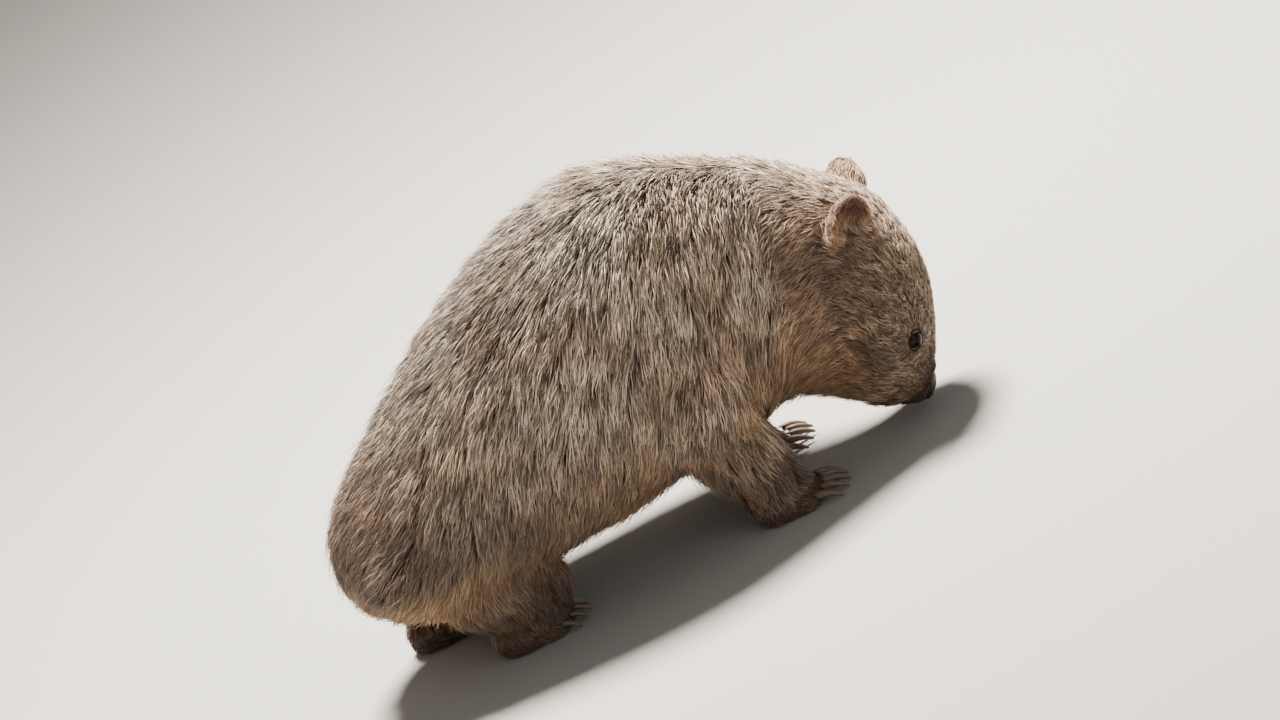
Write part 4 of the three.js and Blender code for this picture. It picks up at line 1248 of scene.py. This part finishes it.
class WOMBAT_OT_nose(bpy.types.Operator):
    """Bare granular nose pad with two nostrils"""

    bl_idname = "wombat.nose"
    bl_label = "Nose"

    def execute(self, context):
        bm = bmesh.new()
        merged_copy(bm, "nose_pad", 0.0)
        bmesh.ops.translate(bm, verts=bm.verts, vec=Vector(NOSE_SUNK) * MM)
        nose = new_piece("nose", bm, self.nose_skin(context.scene.wombat_colours.nose))
        remesh(nose, 0.9 * MM)
        even = nose.modifiers.new("Round", "SMOOTH")
        even.iterations = 6
        apply_modifiers(nose)
        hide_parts("nose_pad")
        return {"FINISHED"}

    @staticmethod
    def nose_skin(base):
        """Bare nose leather. The eye sees dark grains about 1.2 mm across, slightly moist."""
        finish = {"Roughness": 0.5, "Specular IOR Level": 0.35}
        shades = (base, linear("32241f"))
        grain = (1.2, 1.2, 1.2)
        bump = {"Strength": 0.5, "Distance": 0.6 * MM}
        return grained_material(
            "nose_leather", finish, shades, "ShaderNodeTexVoronoi", grain, bump, invert=True
        )


class WOMBAT_OT_claws(bpy.types.Operator):
    """Curved horn claws on each toe"""

    bl_idname = "wombat.claws"
    bl_label = "Claws"

    def execute(self, context):
        horn = self.horn(context.scene.wombat_colours.claw)
        for limb in LIMBS:
            nodes = [f"{limb.foot}_claw_{i + 1}" for i in range(limb.toes)]
            bm = bmesh.new()
            for node in nodes:
                merged_copy(bm, node, -1.1 * MM)
            claws = new_piece("claws_" + limb.foot, bm, horn)
            smooth = claws.modifiers.new("Round", "SUBSURF")
            smooth.levels = 2
            smooth.render_levels = 2
            apply_modifiers(claws)
            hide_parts(*nodes)
        return {"FINISHED"}

    @staticmethod
    def horn(base):
        """Horn worn by digging. The eye sees it satin, with streaks 11 mm long and 1.1 mm apart."""
        finish = {"Roughness": 0.45}
        shades = (base, linear("6a5846"))
        grain = (11.1111, 1.1111, 1.1111)
        bump = {"Strength": 0.3, "Distance": 0.4 * MM}
        detail = {"Detail": 3.0}
        return grained_material("worn_horn", finish, shades, "ShaderNodeTexNoise", grain, bump, detail)


# Stage


class WOMBAT_OT_stage(bpy.types.Operator):
    """Pale floor, soft studio light and the camera"""

    bl_idname = "wombat.stage"
    bl_label = "Stage"

    def execute(self, context):
        stage = context.scene.wombat_stage
        bm = bmesh.new()
        bmesh.ops.create_grid(bm, x_segments=1, y_segments=1, size=20)
        mesh = bpy.data.meshes.new("floor")
        bm.to_mesh(mesh)
        bm.free()
        floor = bpy.data.objects.new("floor", mesh)
        context.scene.collection.objects.link(floor)
        # Matt studio paint, rolled on. The eye sees one even pale tone.
        finish = {"Base Color": opaque(context.scene.wombat_colours.floor), "Roughness": 0.9}
        mesh.materials.append(new_material("studio_floor_paint", finish)[0])

        world = bpy.data.worlds.new("studio")
        world.use_nodes = True
        sky = world.node_tree.nodes["Background"]
        sky.inputs["Color"].default_value = SKY_TINT
        sky.inputs["Strength"].default_value = stage.sky
        context.scene.world = world
        for name, offset, size, tint in LAMPS:
            self.light(name, Vector(offset), size, getattr(stage, name), tint)
        self.camera(stage)
        return {"FINISHED"}

    @staticmethod
    def light(name, offset, size, power, tint):
        """A round soft lamp that faces the animal."""
        lamp = bpy.data.lights.new(name, "AREA")
        lamp.shape = "DISK"
        lamp.size = size
        lamp.energy = power
        lamp.color = tint
        obj = bpy.data.objects.new(name, lamp)
        obj.location = Vector(LIT_MIDDLE) + offset
        obj.rotation_euler = (-offset).to_track_quat("-Z", "Y").to_euler()
        bpy.context.scene.collection.objects.link(obj)

    @staticmethod
    def camera(stage):
        """The photo's view of the levelled animal."""
        ahead = Vector(VIEW_AHEAD)
        right = ahead.cross(Vector(VIEW_UP)).normalized()
        up = right.cross(ahead).normalized()
        turn = Matrix((right, up, -ahead)).transposed()
        data = bpy.data.cameras.new("camera")
        data.sensor_width = 36
        data.lens = stage.lens
        camera = bpy.data.objects.new("camera", data)
        place = Vector(placed(VIEW_TARGET)) - ahead * stage.distance
        camera.matrix_world = Matrix.Translation(place) @ turn.to_4x4()
        bpy.context.scene.collection.objects.link(camera)
        bpy.context.scene.camera = camera


class WOMBAT_PT_panel(bpy.types.Panel):
    """Lists the model's pieces in the order they are made"""

    bl_label = "Wombat"
    bl_idname = "WOMBAT_PT_panel"
    bl_space_type = "VIEW_3D"
    bl_region_type = "UI"
    bl_category = "Wombat"

    def draw(self, context):
        for operator in OPERATORS:
            self.layout.operator(operator.bl_idname)
        for group, _ in GROUPS:
            box = self.layout.box()
            values = getattr(context.scene, group)
            for name in values.bl_rna.properties.keys():
                if name not in ("rna_type", "name"):
                    box.prop(values, name)


GROUPS = (
    ("wombat_sizes", WombatSizes),
    ("wombat_colours", WombatColours),
    ("wombat_stage", WombatStage),
)
OPERATORS = (
    WOMBAT_OT_skin,
    WOMBAT_OT_body_coat,
    WOMBAT_OT_leg_coat,
    WOMBAT_OT_head_coat,
    WOMBAT_OT_eyes,
    WOMBAT_OT_nose,
    WOMBAT_OT_claws,
    WOMBAT_OT_stage,
)


def register():
    for name, group in GROUPS:
        bpy.utils.register_class(group)
        setattr(bpy.types.Scene, name, PointerProperty(type=group))
    for cls in (*OPERATORS, WOMBAT_PT_panel):
        bpy.utils.register_class(cls)


def unregister():
    for cls in reversed((*OPERATORS, WOMBAT_PT_panel)):
        bpy.utils.unregister_class(cls)
    for name, group in reversed(GROUPS):
        delattr(bpy.types.Scene, name)
        bpy.utils.unregister_class(group)


def main():
    register()
    for operator in OPERATORS:
        module, call = operator.bl_idname.split(".")
        getattr(getattr(bpy.ops, module), call)()


if __name__ == "__main__":
    main()
